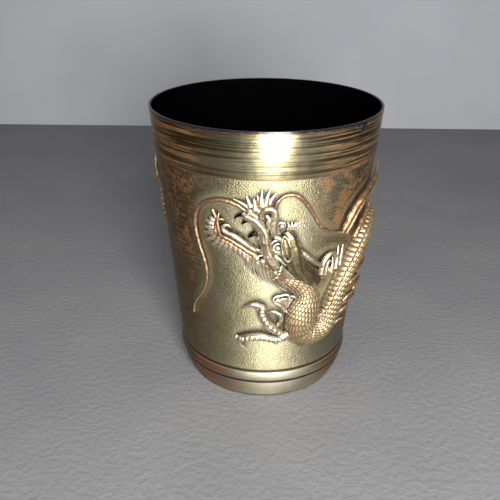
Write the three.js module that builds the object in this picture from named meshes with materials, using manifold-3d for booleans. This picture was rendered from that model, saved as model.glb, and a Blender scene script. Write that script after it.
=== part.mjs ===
// A brass cup, or brush pot, with a dragon in high relief wound round its tapered wall.
// Millimetres, +Z up, origin at the centre of the face that the foot rests on, -Y towards the viewer.
// A turned foot ring carries a cast wall and a floor plate; a thin black liner stands inside the wall.
// The dragon and its wisps are separate castings soldered on to the wall, a solder line away from it.

import * as THREE from "three";
import { mergeVertices } from "three/addons/utils/BufferGeometryUtils.js";
import Module from "manifold-3d";

const wasm = await Module();
wasm.setup();

// Driving dimensions of the vessel
const cupHeight = 102.7;
const rimRadius = 40;
const wallFootRadius = 31.7;
const wallThickness = 1.5;
const lipThickness = 0.75;
const lipHeight = 6;
const bandHeight = 15.3; // the smooth band under the rim
const bandStep = 0.25; // the ground of the relief lies this much behind the band
const linerThickness = 0.5;
const linerClearance = 0.25;
const roundSteps = 60;

// Driving dimensions of the foot
const footRingHeight = 13.3;
const footRestRadius = 28.3;
const footTopRadius = 31.0;
const footTopHeight = 7.9;
const footHollowRadius = 25.6;
const footEdgeRound = 0.6;
const beadLow = 8.9;
const beadHigh = 12.8;
const beadRadius = 31.9;
const grooveDepth = 0.7;
const grooveRadius = beadRadius - grooveDepth * 2;
const grooveEdge = 0.2; // the groove's flat starts this far above the flare
const plateThickness = 2;
const plateClearance = 0.3;

// Driving dimensions of the relief
const reliefRadius = 36; // a distance of 1 mm in the layout is 1 mm of arc at this radius
const layoutBase = 2.2; // the layout's zero height lies this far above the rest face
const solderLine = 0.3; // between a casting's back and the wall
const seam = 0.3; // between two castings that meet
const backStep = 0.03; // from one joined form's back to the next one's
const cutterDepth = 1; // a cutter reaches from here inside the wall
const cutterHeight = 12; // to here outside it
const scalePitch = 4.8; // from one ring of scales to the next
const scaleStep = 0.12; // how far each ring of scales steps down, as a share of the height
const scaleRun = 0.8; // a ring of scales rises over this share of its pitch
const endReach = 0.8; // a blunt end reaches this share of half a width past its last station
const endShare = 0.55; // and is this share as wide
const leastHalfWidth = 0.1;
const leastHeight = 0.2;
const lockTip = 0.12; // a lock's point is this share as wide as its root
const lockTaper = 0.8;
const finGap = 0.9; // between the body and the fin beside it
const finRootShare = 0.85; // how wide and high the cord that joins a fin's spikes is
const weldDistance = 1e-3; // points this close are one point
const roundingPasses = 4;

const brass = { color: 0x9a8a58, roughness: 0.38, metalness: 1 };
const copperyBrass = { color: 0xa9733f, roughness: 0.36, metalness: 1 };
const blackLacquer = { color: 0x08080a, roughness: 0.35, metalness: 0 };

// The vessel: every piece is a profile turned round the axis

const wallTaper = (rimRadius - wallFootRadius) / (cupHeight - footRingHeight);

function wallRadius(z) {
  return wallFootRadius + (z - footRingHeight) * wallTaper;
}

function turned(profile) {
  const points = profile.map(([radius, z]) => new THREE.Vector2(radius, z));
  const geometry = new THREE.LatheGeometry(points, roundSteps);
  return geometry.rotateX(Math.PI / 2);
}

// A turned ring's profile runs up the outside and down the inside, and ends where it starts.
function turnedRing(profile) {
  return turned([...profile, profile[0]]);
}

const bandZ = cupHeight - bandHeight;
const lipInnerRadius = rimRadius - lipThickness;
const wallInnerFoot = wallFootRadius - wallThickness;
const lipZ = cupHeight - lipHeight;

function cupWall() {
  return turnedRing([
    [wallFootRadius - bandStep, footRingHeight],
    [wallRadius(bandZ) - bandStep, bandZ - bandStep],
    [wallRadius(bandZ), bandZ],
    [rimRadius, cupHeight],
    [lipInnerRadius, cupHeight],
    [wallRadius(lipZ) - wallThickness, lipZ],
    [wallInnerFoot, footRingHeight],
  ]);
}

function innerLiner() {
  const outerTop = lipInnerRadius - linerClearance;
  const outerLip = wallRadius(lipZ) - wallThickness - linerClearance;
  const outerFoot = wallInnerFoot - linerClearance;
  const floorTop = footRingHeight + linerThickness;
  return turned([
    [0, footRingHeight],
    [outerFoot, footRingHeight],
    [outerLip, lipZ],
    [outerTop, cupHeight],
    [outerTop - linerThickness, cupHeight],
    [outerLip - linerThickness, lipZ],
    [outerFoot - linerThickness, floorTop],
    [0, floorTop],
  ]);
}

const ledgeZ = footRingHeight - plateThickness;
const rebateRadius = wallInnerFoot;

function footRing() {
  const profile = [
    [footHollowRadius, 0],
    [footRestRadius - footEdgeRound, 0],
    [footRestRadius, footEdgeRound],
  ];
  const flareSteps = 2;
  for (let i = 1; i <= flareSteps; i += 1) {
    const share = i / flareSteps;
    const swell = Math.sin((share * Math.PI) / 2);
    const z = footEdgeRound + (footTopHeight - footEdgeRound) * share;
    profile.push([footRestRadius + (footTopRadius - footRestRadius) * swell, z]);
  }
  profile.push([grooveRadius, footTopHeight + grooveEdge]);
  profile.push([grooveRadius, beadLow - grooveEdge]);
  const beadSteps = 3;
  for (let i = 0; i <= beadSteps; i += 1) {
    const angle = (Math.PI * i) / beadSteps;
    const radius = beadRadius - grooveDepth + grooveDepth * Math.sin(angle);
    profile.push([radius, beadLow + ((beadHigh - beadLow) * (1 - Math.cos(angle))) / 2]);
  }
  profile.push([beadRadius - grooveDepth, footRingHeight]);
  profile.push([rebateRadius, footRingHeight]);
  profile.push([rebateRadius, ledgeZ]);
  profile.push([footHollowRadius, ledgeZ]);
  return turnedRing(profile);
}

function floorPlate() {
  const radius = rebateRadius - plateClearance;
  return turned([
    [0, ledgeZ],
    [radius, ledgeZ],
    [radius, footRingHeight],
    [0, footRingHeight],
  ]);
}

// The relief: castings laid out flat as (u, z, height), then bent round the wall
// u is the arc from the middle of the front, positive to the right, and z is the height in the layout.

function onWall(u, layoutZ, height) {
  const turn = u / reliefRadius;
  const z = layoutZ + layoutBase;
  const radius = wallRadius(z) - bandStep + height;
  return [radius * Math.sin(turn), -radius * Math.cos(turn), z];
}

// A half-round bar that follows a smooth curve: each station is [u, z, width, height].
// With a margin it is a cutter: square in section, wider all round, from inside the wall to above it.
function bar(stations, options = {}, margin = 0, lift = 0) {
  const { sides = 4, perSpan = 2, ends = true, scales = false } = options;
  const centre = new THREE.CatmullRomCurve3(
    stations.map(([u, z]) => new THREE.Vector3(u, z, 0)),
    false,
    "centripetal",
  );
  const size = new THREE.CatmullRomCurve3(
    stations.map(([, , width, height]) => new THREE.Vector3(width, height, 0)),
  );
  const sections = [];
  const addSection = (t, ahead, share, step) => {
    const point = centre.getPoint(t);
    const along = centre.getTangent(t);
    const { x: width, y: height } = size.getPoint(t);
    const half = Math.max(width / 2, leastHalfWidth);
    const reach = ahead * (half + margin);
    sections.push({
      u: point.x + along.x * reach,
      z: point.y + along.y * reach,
      acrossU: -along.y,
      acrossZ: along.x,
      half: half * share + margin,
      height: Math.max(height, leastHeight) * step * share,
    });
  };
  // Blunt ends are rounded with one more section, pointed ones stop at the last station
  const closes = ends || margin > 0;
  if (closes) {
    addSection(0, -endReach, endShare, 1);
  }
  if (scales) {
    const rings = Math.max(2, Math.round(centre.getLength() / scalePitch));
    for (let i = 0; i < rings; i += 1) {
      addSection(centre.getUtoTmapping(i / rings), 0, 1, 1 - scaleStep);
      addSection(centre.getUtoTmapping((i + scaleRun) / rings), 0, 1, 1);
    }
    addSection(1, 0, 1, 1 - scaleStep);
  } else {
    const count = (stations.length - 1) * perSpan;
    for (let i = 0; i <= count; i += 1) {
      addSection(i / count, 0, 1, 1);
    }
  }
  if (closes) {
    addSection(1, endReach, endShare, 1);
  }
  const outline = margin > 0 ? cutterOutline : halfRoundOutline(sides);
  const ringSize = outline.length;
  const positions = [];
  for (const s of sections) {
    for (const [across, rise] of outline) {
      const height = lift + (margin > 0 ? rise : solderLine + s.height * rise);
      const offset = s.half * across;
      positions.push(...onWall(s.u + s.acrossU * offset, s.z + s.acrossZ * offset, height));
    }
  }
  const index = [];
  for (let i = 0; i + 1 < sections.length; i += 1) {
    for (let j = 0; j < ringSize; j += 1) {
      const next = (j + 1) % ringSize;
      const a = i * ringSize + j;
      const b = i * ringSize + next;
      index.push(a, b, a + ringSize, b, b + ringSize, a + ringSize);
    }
  }
  const last = (sections.length - 1) * ringSize;
  for (let j = 1; j + 1 < ringSize; j += 1) {
    index.push(0, j + 1, j);
    index.push(last, last + j, last + j + 1);
  }
  return surface(positions, index);
}

// Outlines across a bar, from one edge over the top and back: [across, rise] as shares of its size.
// The cutter's rise is a height over the wall in millimetres.
const cutterOutline = [
  [1, -cutterDepth],
  [1, cutterHeight],
  [-1, cutterHeight],
  [-1, -cutterDepth],
];

function halfRoundOutline(sides) {
  const outline = [];
  for (let j = 0; j <= sides; j += 1) {
    const angle = (Math.PI * j) / sides;
    outline.push([Math.cos(angle), Math.sin(angle) ** 0.8]);
  }
  outline[sides][1] = 0;
  outline.push([0, 0]);
  return outline;
}

function surface(positions, index) {
  const geometry = new THREE.BufferGeometry();
  geometry.setAttribute("position", new THREE.Float32BufferAttribute(positions, 3));
  geometry.setIndex(index);
  return geometry;
}

// Rings of a domed boss from its back to its crown: [share of its radius, share of its height].
const domeRings = [
  [1, 0],
  [0.9, 0.62],
  [0.52, 1],
];
const domePeak = 1.05; // the middle of the crown, as a share of the height
const domeSides = 10;

// A domed, oval boss. With a margin it is a cutter: a straight post, wider all round.
function round(middle, radiusU, radiusZ, height, margin, lift) {
  const rings = domeRings.map(([share, rise]) => [share, solderLine + height * rise]);
  let peak = solderLine + height * domePeak;
  let back = solderLine;
  if (margin > 0) {
    rings.splice(0, rings.length, [1, -cutterDepth], [1, cutterHeight]);
    peak = cutterHeight;
    back = -cutterDepth;
  }
  const positions = [];
  for (const [share, rise] of rings) {
    for (let j = 0; j < domeSides; j += 1) {
      const angle = (Math.PI * 2 * j) / domeSides;
      const du = (radiusU * share + margin) * Math.cos(angle);
      const dz = (radiusZ * share + margin) * Math.sin(angle);
      positions.push(...onWall(middle[0] + du, middle[1] + dz, lift + rise));
    }
  }
  const top = rings.length * domeSides;
  positions.push(...onWall(middle[0], middle[1], lift + peak));
  positions.push(...onWall(middle[0], middle[1], lift + back));
  const crown = (rings.length - 1) * domeSides;
  const index = [];
  for (let j = 0; j < domeSides; j += 1) {
    const next = (j + 1) % domeSides;
    for (let low = 0; low < crown; low += domeSides) {
      const high = low + domeSides;
      index.push(low + j, low + next, high + j, high + j, low + next, high + next);
    }
    index.push(crown + j, crown + next, top);
    index.push(next, j, top + 1);
  }
  return surface(positions, index);
}

// A tapered lock of hair, a spike or a claw, from its root to its point.
function lock(path, rootWidth, rootHeight, margin = 0, lift = 0) {
  const stations = path.map(([u, z], i) => {
    const left = 1 - i / (path.length - 1);
    const share = lockTip + (1 - lockTip) * left ** lockTaper;
    return [u, z, rootWidth * share, rootHeight * share];
  });
  return bar(stations, { sides: 3, perSpan: 1, ends: false }, margin, lift);
}

// Solids from geometry and back, for joining and cutting

function solidOf(geometry) {
  const bare = geometry.clone();
  bare.deleteAttribute("normal");
  bare.deleteAttribute("uv");
  const merged = mergeVertices(bare, weldDistance);
  const mesh = new wasm.Mesh({
    numProp: 3,
    vertProperties: new Float32Array(merged.attributes.position.array),
    triVerts: new Uint32Array(merged.index.array),
  });
  mesh.merge();
  return new wasm.Manifold(mesh);
}

function geometryOf(solid) {
  const mesh = solid.getMesh();
  const geometry = new THREE.BufferGeometry();
  geometry.setAttribute("position", new THREE.BufferAttribute(mesh.vertProperties, 3));
  geometry.setIndex(new THREE.BufferAttribute(mesh.triVerts, 1));
  return geometry;
}

// A casting is a list of makers. Each takes a margin and a lift and gives a geometry.
const barOf = (stations, options) => (margin, lift) => bar(stations, options, margin, lift);
const roundOf = (middle, radiusU, radiusZ, height) => (margin, lift) =>
  round(middle, radiusU, radiusZ, height, margin, lift);
const lockOf = (path, width, height) => (margin, lift) => lock(path, width, height, margin, lift);

// Each maker's solid is lifted a little more than the last, so that no two backs lie in one surface.
function joined(makers, margin) {
  const solids = makers.map((make, i) => solidOf(make(margin, i * backStep)));
  return solids.reduce((sum, solid) => sum.add(solid));
}

// The dragon's head, mouth open to the left

const upperHead = [
  barOf([
    [-4.6, 73.6, 1.8, 2.6],
    [-2.4, 71.8, 2.6, 3.4],
    [-0.3, 69, 3.4, 4.2],
    [0.4, 65.5, 3.4, 4.6],
    [0.3, 62, 3.4, 4.8],
    [1.9, 58.4, 3.8, 4.9],
    [3.6, 55.6, 3.6, 4.4],
  ]),
  barOf([
    [-0.4, 73.4, 1.6, 2.6],
    [0.4, 75.4, 2, 3.2],
    [1.9, 75.4, 2.2, 3.6],
    [1.8, 72.4, 2.4, 4],
    [2.6, 69.4, 2.6, 4.2],
    [4, 66.6, 4, 4],
  ]),
  barOf([
    [4.4, 66.4, 4.4, 3.6],
    [5, 62, 6.4, 4.3],
    [5.4, 58, 6.6, 4.5],
    [5.6, 54.6, 4.6, 4.1],
  ]),
  barOf([
    [-3.5, 76, 2.4, 2],
    [-1, 77.2, 3, 2.4],
    [1, 77.6, 2.6, 2.2],
  ]),
];

const noseTuft = [
  lockOf([[-4.6, 77.2], [-5, 78.6], [-5.4, 80]], 1.3, 1.8),
  lockOf([[-3, 77.6], [-3, 78.6], [-3, 79.4]], 1.2, 1.6),
  lockOf([[-1.4, 78], [-1.7, 79.2], [-2.1, 80.4]], 1.1, 1.6),
  lockOf([[-0.7, 78.4], [-0.8, 80.4], [-0.9, 82.3]], 1.3, 1.9),
  lockOf([[0.5, 78.4], [1, 80.4], [1.6, 82.4]], 1.4, 1.9),
  lockOf([[1.2, 78.3], [2.2, 79.8], [3.3, 81]], 1.2, 1.7),
];

const upperFangs = [
  [[-4.9, 74], [-6.9, 73.8], [-8.8, 72.4]],
  [[-3.4, 72.2], [-5, 71.7], [-6.5, 70.4]],
  [[-1.2, 67.9], [-2.9, 67.4], [-4.7, 66]],
];

const lowerJaw = [
  barOf([
    [-1.2, 57.2, 3.4, 3.8],
    [-3, 59.6, 3, 3.6],
    [-6, 61.8, 2.2, 3.2],
    [-9.4, 64, 1.8, 3],
    [-12.6, 65.2, 1.8, 3],
    [-14.6, 66.8, 1.7, 2.8],
    [-14.8, 69.6, 1.4, 2.6],
    [-15.2, 72, 1.1, 2.2],
    [-15.7, 74.6, 0.7, 1.4],
  ]),
  lockOf([[-14, 67.5], [-14, 70.8], [-13.6, 74.2]], 1.1, 2),
];

const beard = [
  lockOf([[-15.2, 69.4], [-16.8, 70.6], [-18.2, 71.4]], 2, 1.9),
  lockOf([[-15.4, 67.8], [-17.4, 68.2], [-19.4, 67.9]], 2.2, 2),
  lockOf([[-15.2, 66], [-17.8, 65.8], [-20.1, 65]], 2.3, 2),
  lockOf([[-14.6, 64.6], [-16.8, 63.2], [-18.6, 61.5]], 2.3, 2),
  lockOf([[-12.6, 63.8], [-13.8, 62.2], [-14.8, 60.4]], 2.2, 2),
  lockOf([[-10.2, 62.9], [-11, 61.4], [-11.6, 59.6]], 2.1, 2),
  lockOf([[-7.8, 61.7], [-8.4, 60.2], [-8.8, 58.4]], 2, 2),
  barOf([
    [-15.4, 69.6, 1.5, 1.8],
    [-15.6, 66.8, 1.7, 1.9],
    [-13.6, 64.2, 1.7, 1.9],
    [-9.6, 62.7, 1.7, 1.9],
    [-6.4, 60.8, 1.5, 1.9],
  ]),
];

const tongue = [
  barOf([
    [-3.6, 61.6, 1.2, 2],
    [-6, 63.6, 1.8, 2.6],
    [-8.4, 65.3, 1.8, 2.8],
    [-10.6, 66.4, 1.7, 2.8],
    [-11.6, 67.9, 1.5, 2.6],
    [-11.2, 69.4, 1.3, 2.2],
    [-10.1, 69, 1, 1.6],
  ]),
];

const jawKnob = [roundOf([-0.4, 56.9], 1.5, 2.1, 5.4)];

const eyeball = [roundOf([4, 62.4], 1, 1.1, 5.6)];

const browKnob = [roundOf([5.2, 70.4], 0.95, 1, 2.6)];

const ear = [
  barOf([
    [5.8, 68, 1.6, 4],
    [6.3, 65, 2.6, 5.4],
    [7, 62, 2.8, 5.8],
    [7.5, 59, 1.8, 5.2],
  ]),
];

const nearHorn = [
  barOf([
    [7.6, 68.4, 2.6, 4],
    [9, 65.6, 4, 5.4],
    [9.8, 61.6, 4.2, 6],
    [10.2, 57.4, 3.8, 5.8],
    [11.2, 53.6, 2.9, 5.2],
    [13.2, 50, 2.1, 4.6],
    [15.4, 47, 1.5, 4],
    [17.4, 44.8, 0.8, 3],
  ]),
];

const farHorn = [
  barOf([
    [11.6, 60, 2, 3],
    [14.6, 57.2, 2.5, 3.6],
    [18, 54.2, 2.2, 3.4],
    [21.4, 51.2, 1.1, 2.4],
  ]),
];

const mane = [
  lockOf([[12, 57], [16, 53], [21.6, 49.2]], 2.6, 2.8),
  lockOf([[12.4, 54.6], [16.4, 51], [20.6, 46.8]], 2.4, 2.6),
  lockOf([[13.4, 52.4], [17, 48.6], [20.6, 44.6]], 2.4, 2.4),
  barOf([
    [12.4, 57.6, 2, 1.6],
    [13.6, 54, 3, 1.8],
    [15.8, 50, 2, 1.6],
  ]),
];

const maneCurls = [
  barOf([
    [20.4, 53.4, 0.9, 1.6],
    [21.8, 55.6, 1.2, 1.8],
    [24, 56.2, 1.2, 1.8],
    [25, 54, 1.2, 1.8],
    [24.8, 50.6, 1.6, 2],
    [23.6, 47.8, 2.4, 2],
  ]),
  lockOf([[23, 48], [22.4, 51.4], [21.6, 53.8]], 1.8, 2),
  lockOf([[25.4, 49.6], [26.3, 54], [26, 58.4]], 1.4, 2.4),
  lockOf([[25.6, 49.4], [27.9, 54], [28.4, 58.6]], 1.4, 2.4),
  barOf([
    [23.2, 47.6, 1.6, 1.8],
    [24.6, 48.6, 2, 1.8],
    [26, 50.4, 1.6, 1.8],
  ]),
];

const cheekHair = [
  lockOf([[-1.6, 56.4], [-3.8, 54.6], [-5.2, 52]], 1.8, 2.2),
  lockOf([[-0.6, 54.8], [-2.6, 52.2], [-3.4, 49.6]], 1.9, 2.5),
  lockOf([[0.6, 53.6], [-0.6, 50.8], [-0.8, 48.4]], 1.9, 2.6),
  lockOf([[2.2, 53], [1.7, 50], [1.9, 47.6]], 1.9, 2.6),
  barOf([
    [-1.8, 56.6, 1.8, 2.4],
    [0.1, 54.2, 2.2, 2.6],
    [1.9, 52.6, 1.8, 2.8],
  ]),
];

const throat = [
  barOf([
    [4.4, 51.4, 4.6, 3],
    [6.6, 48.6, 5.6, 3.2],
    [9.2, 46.2, 5.2, 3.4],
  ]),
];

const jawRibbons = [
  lockOf([[5.4, 56.2], [9, 52.6], [12.7, 49]], 1.2, 5),
  lockOf([[4.4, 54.4], [8, 51], [11.2, 48]], 1.2, 4.6),
];

const leftWhisker = [
  barOf([
    [-4.4, 74.6, 1.5, 1.8],
    [-8, 76.7, 1.4, 1.5],
    [-12.4, 77.7, 1.3, 1.4],
    [-17, 76.7, 1.3, 1.4],
    [-20.6, 74.1, 1.2, 1.4],
    [-22.6, 70.2, 1.2, 1.3],
    [-22.8, 65, 1.1, 1.3],
    [-21.6, 58.8, 1.1, 1.2],
    [-20.2, 53, 1, 1.2],
    [-20, 48.4, 1, 1.1],
    [-21.8, 42.8, 0.9, 1],
    [-25.4, 37.6, 0.8, 0.9],
    [-28.2, 34, 0.7, 0.8],
    [-28.9, 30.6, 0.5, 0.6],
  ]),
];

const rightWhisker = [
  barOf([
    [3, 75.4, 1.4, 1.8],
    [3.8, 78, 1.4, 1.6],
    [5.6, 79.9, 1.4, 1.5],
    [7.8, 80.4, 1.4, 1.5],
    [10.2, 79.4, 1.3, 1.5],
    [12.8, 76.2, 1.3, 1.4],
    [15.4, 72, 1.2, 1.4],
    [18.2, 67.8, 1.2, 1.3],
    [21.6, 65.4, 1.1, 1.3],
    [25.4, 64.2, 1, 1.2],
    [29, 63, 0.9, 1.2],
    [31.6, 61.2, 0.7, 1],
  ]),
];

// The body: it leaves the throat, loops low on the right of the front and goes round the back

const frontCoil = [
  barOf([
    [13.6, 45.6, 7.4, 3.8],
    [15, 42.4, 10.2, 4.8],
    [14.8, 38, 12, 5.4],
    [13.6, 33.6, 12, 5.6],
    [14.4, 29.6, 11.4, 5.6],
    [18.2, 27.3, 9.8, 5.4],
    [22, 28, 8.8, 5.2],
    [24.6, 31.2, 7.6, 5],
  ], { scales: true, sides: 6 }),
];

const risingStations = [
  [26.4, 35.2, 8.6, 4.8],
  [28.2, 40.4, 7.8, 4.8],
  [31, 46, 7.4, 4.8],
  [34.6, 51, 7.6, 4.8],
  [38.8, 55.4, 7.8, 4.7],
  [43.6, 58.8, 8.2, 4.6],
  [49.4, 60.6, 8.4, 4.3],
  [56, 60.4, 8.4, 4],
];
const risingBody = [barOf(risingStations, { scales: true, sides: 6 })];

const backStations = [
  [62.4, 58, 8.4, 3.8],
  [68, 52.6, 8.6, 3.9],
  [72.6, 46, 8.6, 4.2],
  [77.4, 40, 8.6, 4.5],
  [83.6, 36.2, 8.4, 4.6],
  [90.4, 35.2, 8.2, 4.6],
  [97, 38.2, 8, 4.6],
  [101.8, 45.2, 7.8, 4.4],
];
const backBody = [barOf(backStations, { scales: true, sides: 6 })];

const rearStations = [
  [105.4, 53, 7.6, 4.4],
  [109.4, 60.4, 7.4, 4.4],
  [115.6, 66.2, 7, 4.4],
  [124.4, 68.4, 6.6, 4.2],
  [133, 65.6, 6.2, 3.8],
  [139.4, 59, 5.8, 3.4],
  [144.8, 51.8, 5.4, 3],
  [151.8, 47.2, 5, 2.8],
];
const rearBody = [barOf(rearStations, { scales: true, sides: 6 })];

const tail = [
  barOf([
    [157.4, 46.8, 4.8, 2.6],
    [162.6, 49.8, 4.6, 2.4],
    [166, 55.2, 4.4, 2.3],
    [167, 61.6, 4, 2.2],
    [166.8, 67.4, 3.2, 2],
  ], { scales: true, sides: 4 }),
];

const tailFan = [
  lockOf([[166.6, 69.4], [162.4, 74.6], [161.2, 81]], 2.4, 1.9),
  lockOf([[166.8, 69.6], [166, 76], [167.4, 83]], 2.6, 2),
  lockOf([[167.2, 69.4], [170.4, 74.8], [173.2, 81]], 2.4, 1.9),
];

// The saw-toothed fin along the dragon's back: a row of leaning spikes on a cord beside the body.
// It runs over a part of the body's length, given as shares, and side is 1 or -1.
function finBeside(stations, side, first, last, spacing, length, width, height) {
  const centre = new THREE.CatmullRomCurve3(
    stations.map(([u, z]) => new THREE.Vector3(u, z, 0)),
    false,
    "centripetal",
  );
  const size = new THREE.CatmullRomCurve3(
    stations.map(([, , w]) => new THREE.Vector3(w, 0, 0)),
  );
  const run = centre.getLength() * (last - first);
  const count = Math.round(run / spacing);
  const makers = [];
  const root = [];
  for (let i = 0; i <= count; i += 1) {
    const share = first + ((last - first) * i) / count;
    const t = centre.getUtoTmapping(share);
    const point = centre.getPoint(t);
    const along = centre.getTangent(t);
    const half = size.getPoint(t).x / 2;
    const outU = -along.y * side;
    const outZ = along.x * side;
    const baseU = point.x + outU * (half + finGap);
    const baseZ = point.y + outZ * (half + finGap);
    root.push([baseU, baseZ, width * finRootShare, height * finRootShare]);
    const reach = ([out, back]) => [
      baseU + length * (outU * out - along.x * back),
      baseZ + length * (outZ * out - along.y * back),
    ];
    makers.push(lockOf([[0, 0], [0.5, 0.25], [1, 0.9]].map(reach), width, height));
  }
  return [barOf(root), ...makers];
}

const frontFin = [
  lockOf([[35.4, 43.2], [39, 45.4], [43, 47.2], [47, 48]], 3, 2.8),
  lockOf([[33.2, 37.2], [36.6, 39.4], [40.6, 40.4], [44.6, 38.8]], 3, 2.8),
  lockOf([[31.8, 31.6], [34.4, 33.6], [38, 34.4], [41.4, 32.8]], 2.6, 2.6),
  lockOf([[30, 26.8], [32.6, 29], [35.6, 29.4]], 2.2, 2.4),
  barOf([
    [30.4, 27.4, 2, 1.8],
    [32.4, 32.8, 2.2, 2],
    [33.8, 38.2, 2.2, 2],
    [36.6, 44.2, 2, 1.8],
  ]),
];
const backFin = finBeside(backStations, -1, 0.08, 0.92, 11, 4.2, 2.8, 2.6);
const rearFin = finBeside(rearStations, 1, 0.08, 0.94, 12, 4, 3, 2.2);

// The near foreleg's foot, spread on the front of the cup

const forePaw = [
  barOf([
    [4.2, 25.4, 1.8, 2.2],
    [5.6, 26.6, 3, 3.2],
    [6.6, 27.2, 2, 3],
  ]),
];

const upperToe = [
  barOf([
    [5.2, 29.6, 2.2, 3],
    [3.2, 31.4, 2.8, 3.2],
    [1.2, 34, 2.7, 3.2],
    [0, 36.6, 2.5, 3.2],
    [-0.7, 38.6, 2.8, 3.4],
  ]),
];

const upperClaw = [lockOf([[-2.9, 39.6], [-5.6, 39.7], [-8.1, 37.8]], 1.7, 2.4)];

const lowerToe = [
  barOf([
    [3, 26.9, 2.2, 2.8],
    [0.4, 27.2, 2.6, 3],
    [-3, 27.2, 2.5, 3],
    [-6, 26.5, 2.3, 2.8],
    [-8, 26, 1.9, 2.4],
  ]),
];

const lowerClaw = [lockOf([[-7.9, 24.4], [-7.2, 22.8], [-6.2, 21.4], [-5.4, 20.4]], 1.9, 2)];

const thumb = [
  barOf([
    [5.5, 33.6, 1.3, 1.8],
    [5.6, 35.4, 1.7, 2.2],
    [4.8, 36.9, 1.6, 2.2],
  ]),
  lockOf([[4.4, 37.3], [2.8, 37.7], [1.7, 37.6]], 1.2, 1.8),
];

const cloudScroll = [
  barOf([
    [3.9, 42.2, 2.4, 1.6],
    [5.6, 42.5, 3, 1.9],
    [6.6, 41, 2.8, 1.9],
    [6.9, 39, 1.8, 1.7],
  ]),
  barOf([
    [8.9, 42.3, 2, 1.2],
    [9.1, 40.2, 2.4, 1.3],
    [8.3, 38.2, 1.6, 1.2],
    [7.2, 37.9, 1.2, 1.2],
  ]),
];

// The wisp of flame that leaves the shoulder and rises to the right

const shoulderFlame = [
  barOf([
    [27.8, 63.8, 1.6, 2],
    [29.6, 68.6, 2.8, 2.6],
    [33, 72.6, 3.2, 2.8],
    [38, 75.4, 2.8, 2.6],
    [44, 77.8, 2.2, 2.4],
    [50, 81.4, 1, 1.8],
  ]),
];

// Legs and claws behind the cup, where the photograph doesn't reach

function paw(wrist, heading, size, mirror) {
  const turn = (heading * Math.PI) / 180;
  const place = ([ahead, side]) => {
    const across = side * mirror;
    const u = wrist[0] + size * (ahead * Math.cos(turn) - across * Math.sin(turn));
    const z = wrist[1] + size * (ahead * Math.sin(turn) + across * Math.cos(turn));
    return [u, z];
  };
  const digit = (points, width, height) =>
    barOf(points.map((p) => [...place(p), width * size, height * size]), { perSpan: 1 });
  const claw = (points) => lockOf(points.map(place), 2.4 * size, 2.8 * size);
  return [
    digit([[-1, 0], [1, 0], [2.2, 0]], 3.6, 2.8),
    claw([[1.6, 0.8], [4.8, 3.4], [8, 3.6], [10.6, 1.6]]),
    claw([[2, 0], [5.4, 0], [8.4, -1], [10.8, -3.6]]),
    claw([[1.6, -0.8], [3.8, -3.6], [6.4, -6], [6.6, -9.4]]),
    claw([[-0.6, 0.6], [-1.8, 3.4], [-0.2, 6], [2.4, 6.8]]),
  ];
}

const shoulderLeg = [
  barOf([
    [61, 54, 6, 3.8],
    [61.4, 49, 5.6, 3.8],
    [58.8, 44, 4.4, 3.4],
    [59.8, 38.6, 3.6, 3],
  ], { scales: true }),
];
const shoulderPaw = paw([60.2, 34.8], -80, 0.86, 1);

const hindLeg = [
  barOf([
    [89.6, 41.2, 6, 3.8],
    [87.6, 46.6, 5.6, 3.8],
    [90.8, 52, 4.4, 3.4],
    [89.8, 57.4, 3.6, 3],
  ], { scales: true }),
];
const hindPaw = paw([90.2, 61.2], 78, 0.8, -1);

const brassCastings = [
  ["jaw_knob", jawKnob],
  ["eye", eyeball],
  ["horn_near", nearHorn],
  ["ear", ear],
  ["jaw_ribbons", jawRibbons],
  ["dragon_upper_head", upperHead],
  ["brow_knob", browKnob],
  ["nose_tuft", noseTuft],
  ["whisker_left", leftWhisker],
  ["whisker_right", rightWhisker],
  ["dragon_lower_jaw", lowerJaw],
  ["tongue", tongue],
  ["beard", beard],
  ["cheek_hair", cheekHair],
  ["horn_far", farHorn],
  ["dragon_front_coil", frontCoil],
  ["throat", throat],
  ["mane", mane],
  ["dragon_rising_body", risingBody],
  ["mane_curls", maneCurls],
  ["dorsal_fin_front", frontFin],
  ["shoulder_flame", shoulderFlame],
  ["fore_paw", forePaw],
  ["fore_claw_upper", upperClaw],
  ["fore_claw_lower", lowerClaw],
  ["fore_toe_upper", upperToe],
  ["fore_toe_lower", lowerToe],
  ["fore_thumb", thumb],
  ["cloud_scroll", cloudScroll],
  ["dragon_back_body", backBody],
  ["dorsal_fin_back", backFin],
  ["dragon_rear_body", rearBody],
  ["dorsal_fin_rear", rearFin],
  ["dragon_tail", tail],
  ["tail_fan", tailFan],
  ["shoulder_leg", shoulderLeg],
  ["shoulder_paw", shoulderPaw],
  ["hind_paw", hindPaw],
  ["hind_leg", hindLeg],
];

const fangCastings = upperFangs.map((path, i) => [`upper_fang_${i + 1}`, [lockOf(path, 1.4, 2)]]);

// A cut can leave slivers, and rounding its numbers for a mesh can too: the largest body is kept.
function largestBody(solid) {
  let body = solid;
  for (let pass = 0; pass < roundingPasses; pass += 1) {
    const bodies = solidOf(geometryOf(body)).decompose();
    body = bodies.reduce((best, one) => (one.volume() > best.volume() ? one : best));
  }
  return body;
}

// A casting gives way to every one before it in the list, by the width of a seam.
function fitted(castings) {
  const made = [];
  for (const [name, makers] of castings) {
    let solid = joined(makers, 0);
    for (const earlier of made) {
      if (solid.intersect(earlier.cutter).volume() > 0) {
        solid = solid.subtract(earlier.cutter);
      }
    }
    made.push({ name, solid: largestBody(solid), cutter: joined(makers, seam) });
  }
  return made;
}

const cup = new THREE.Group();

function add(name, geometry, look) {
  const mesh = new THREE.Mesh(geometry, new THREE.MeshStandardMaterial(look));
  mesh.name = name;
  cup.add(mesh);
}

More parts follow.
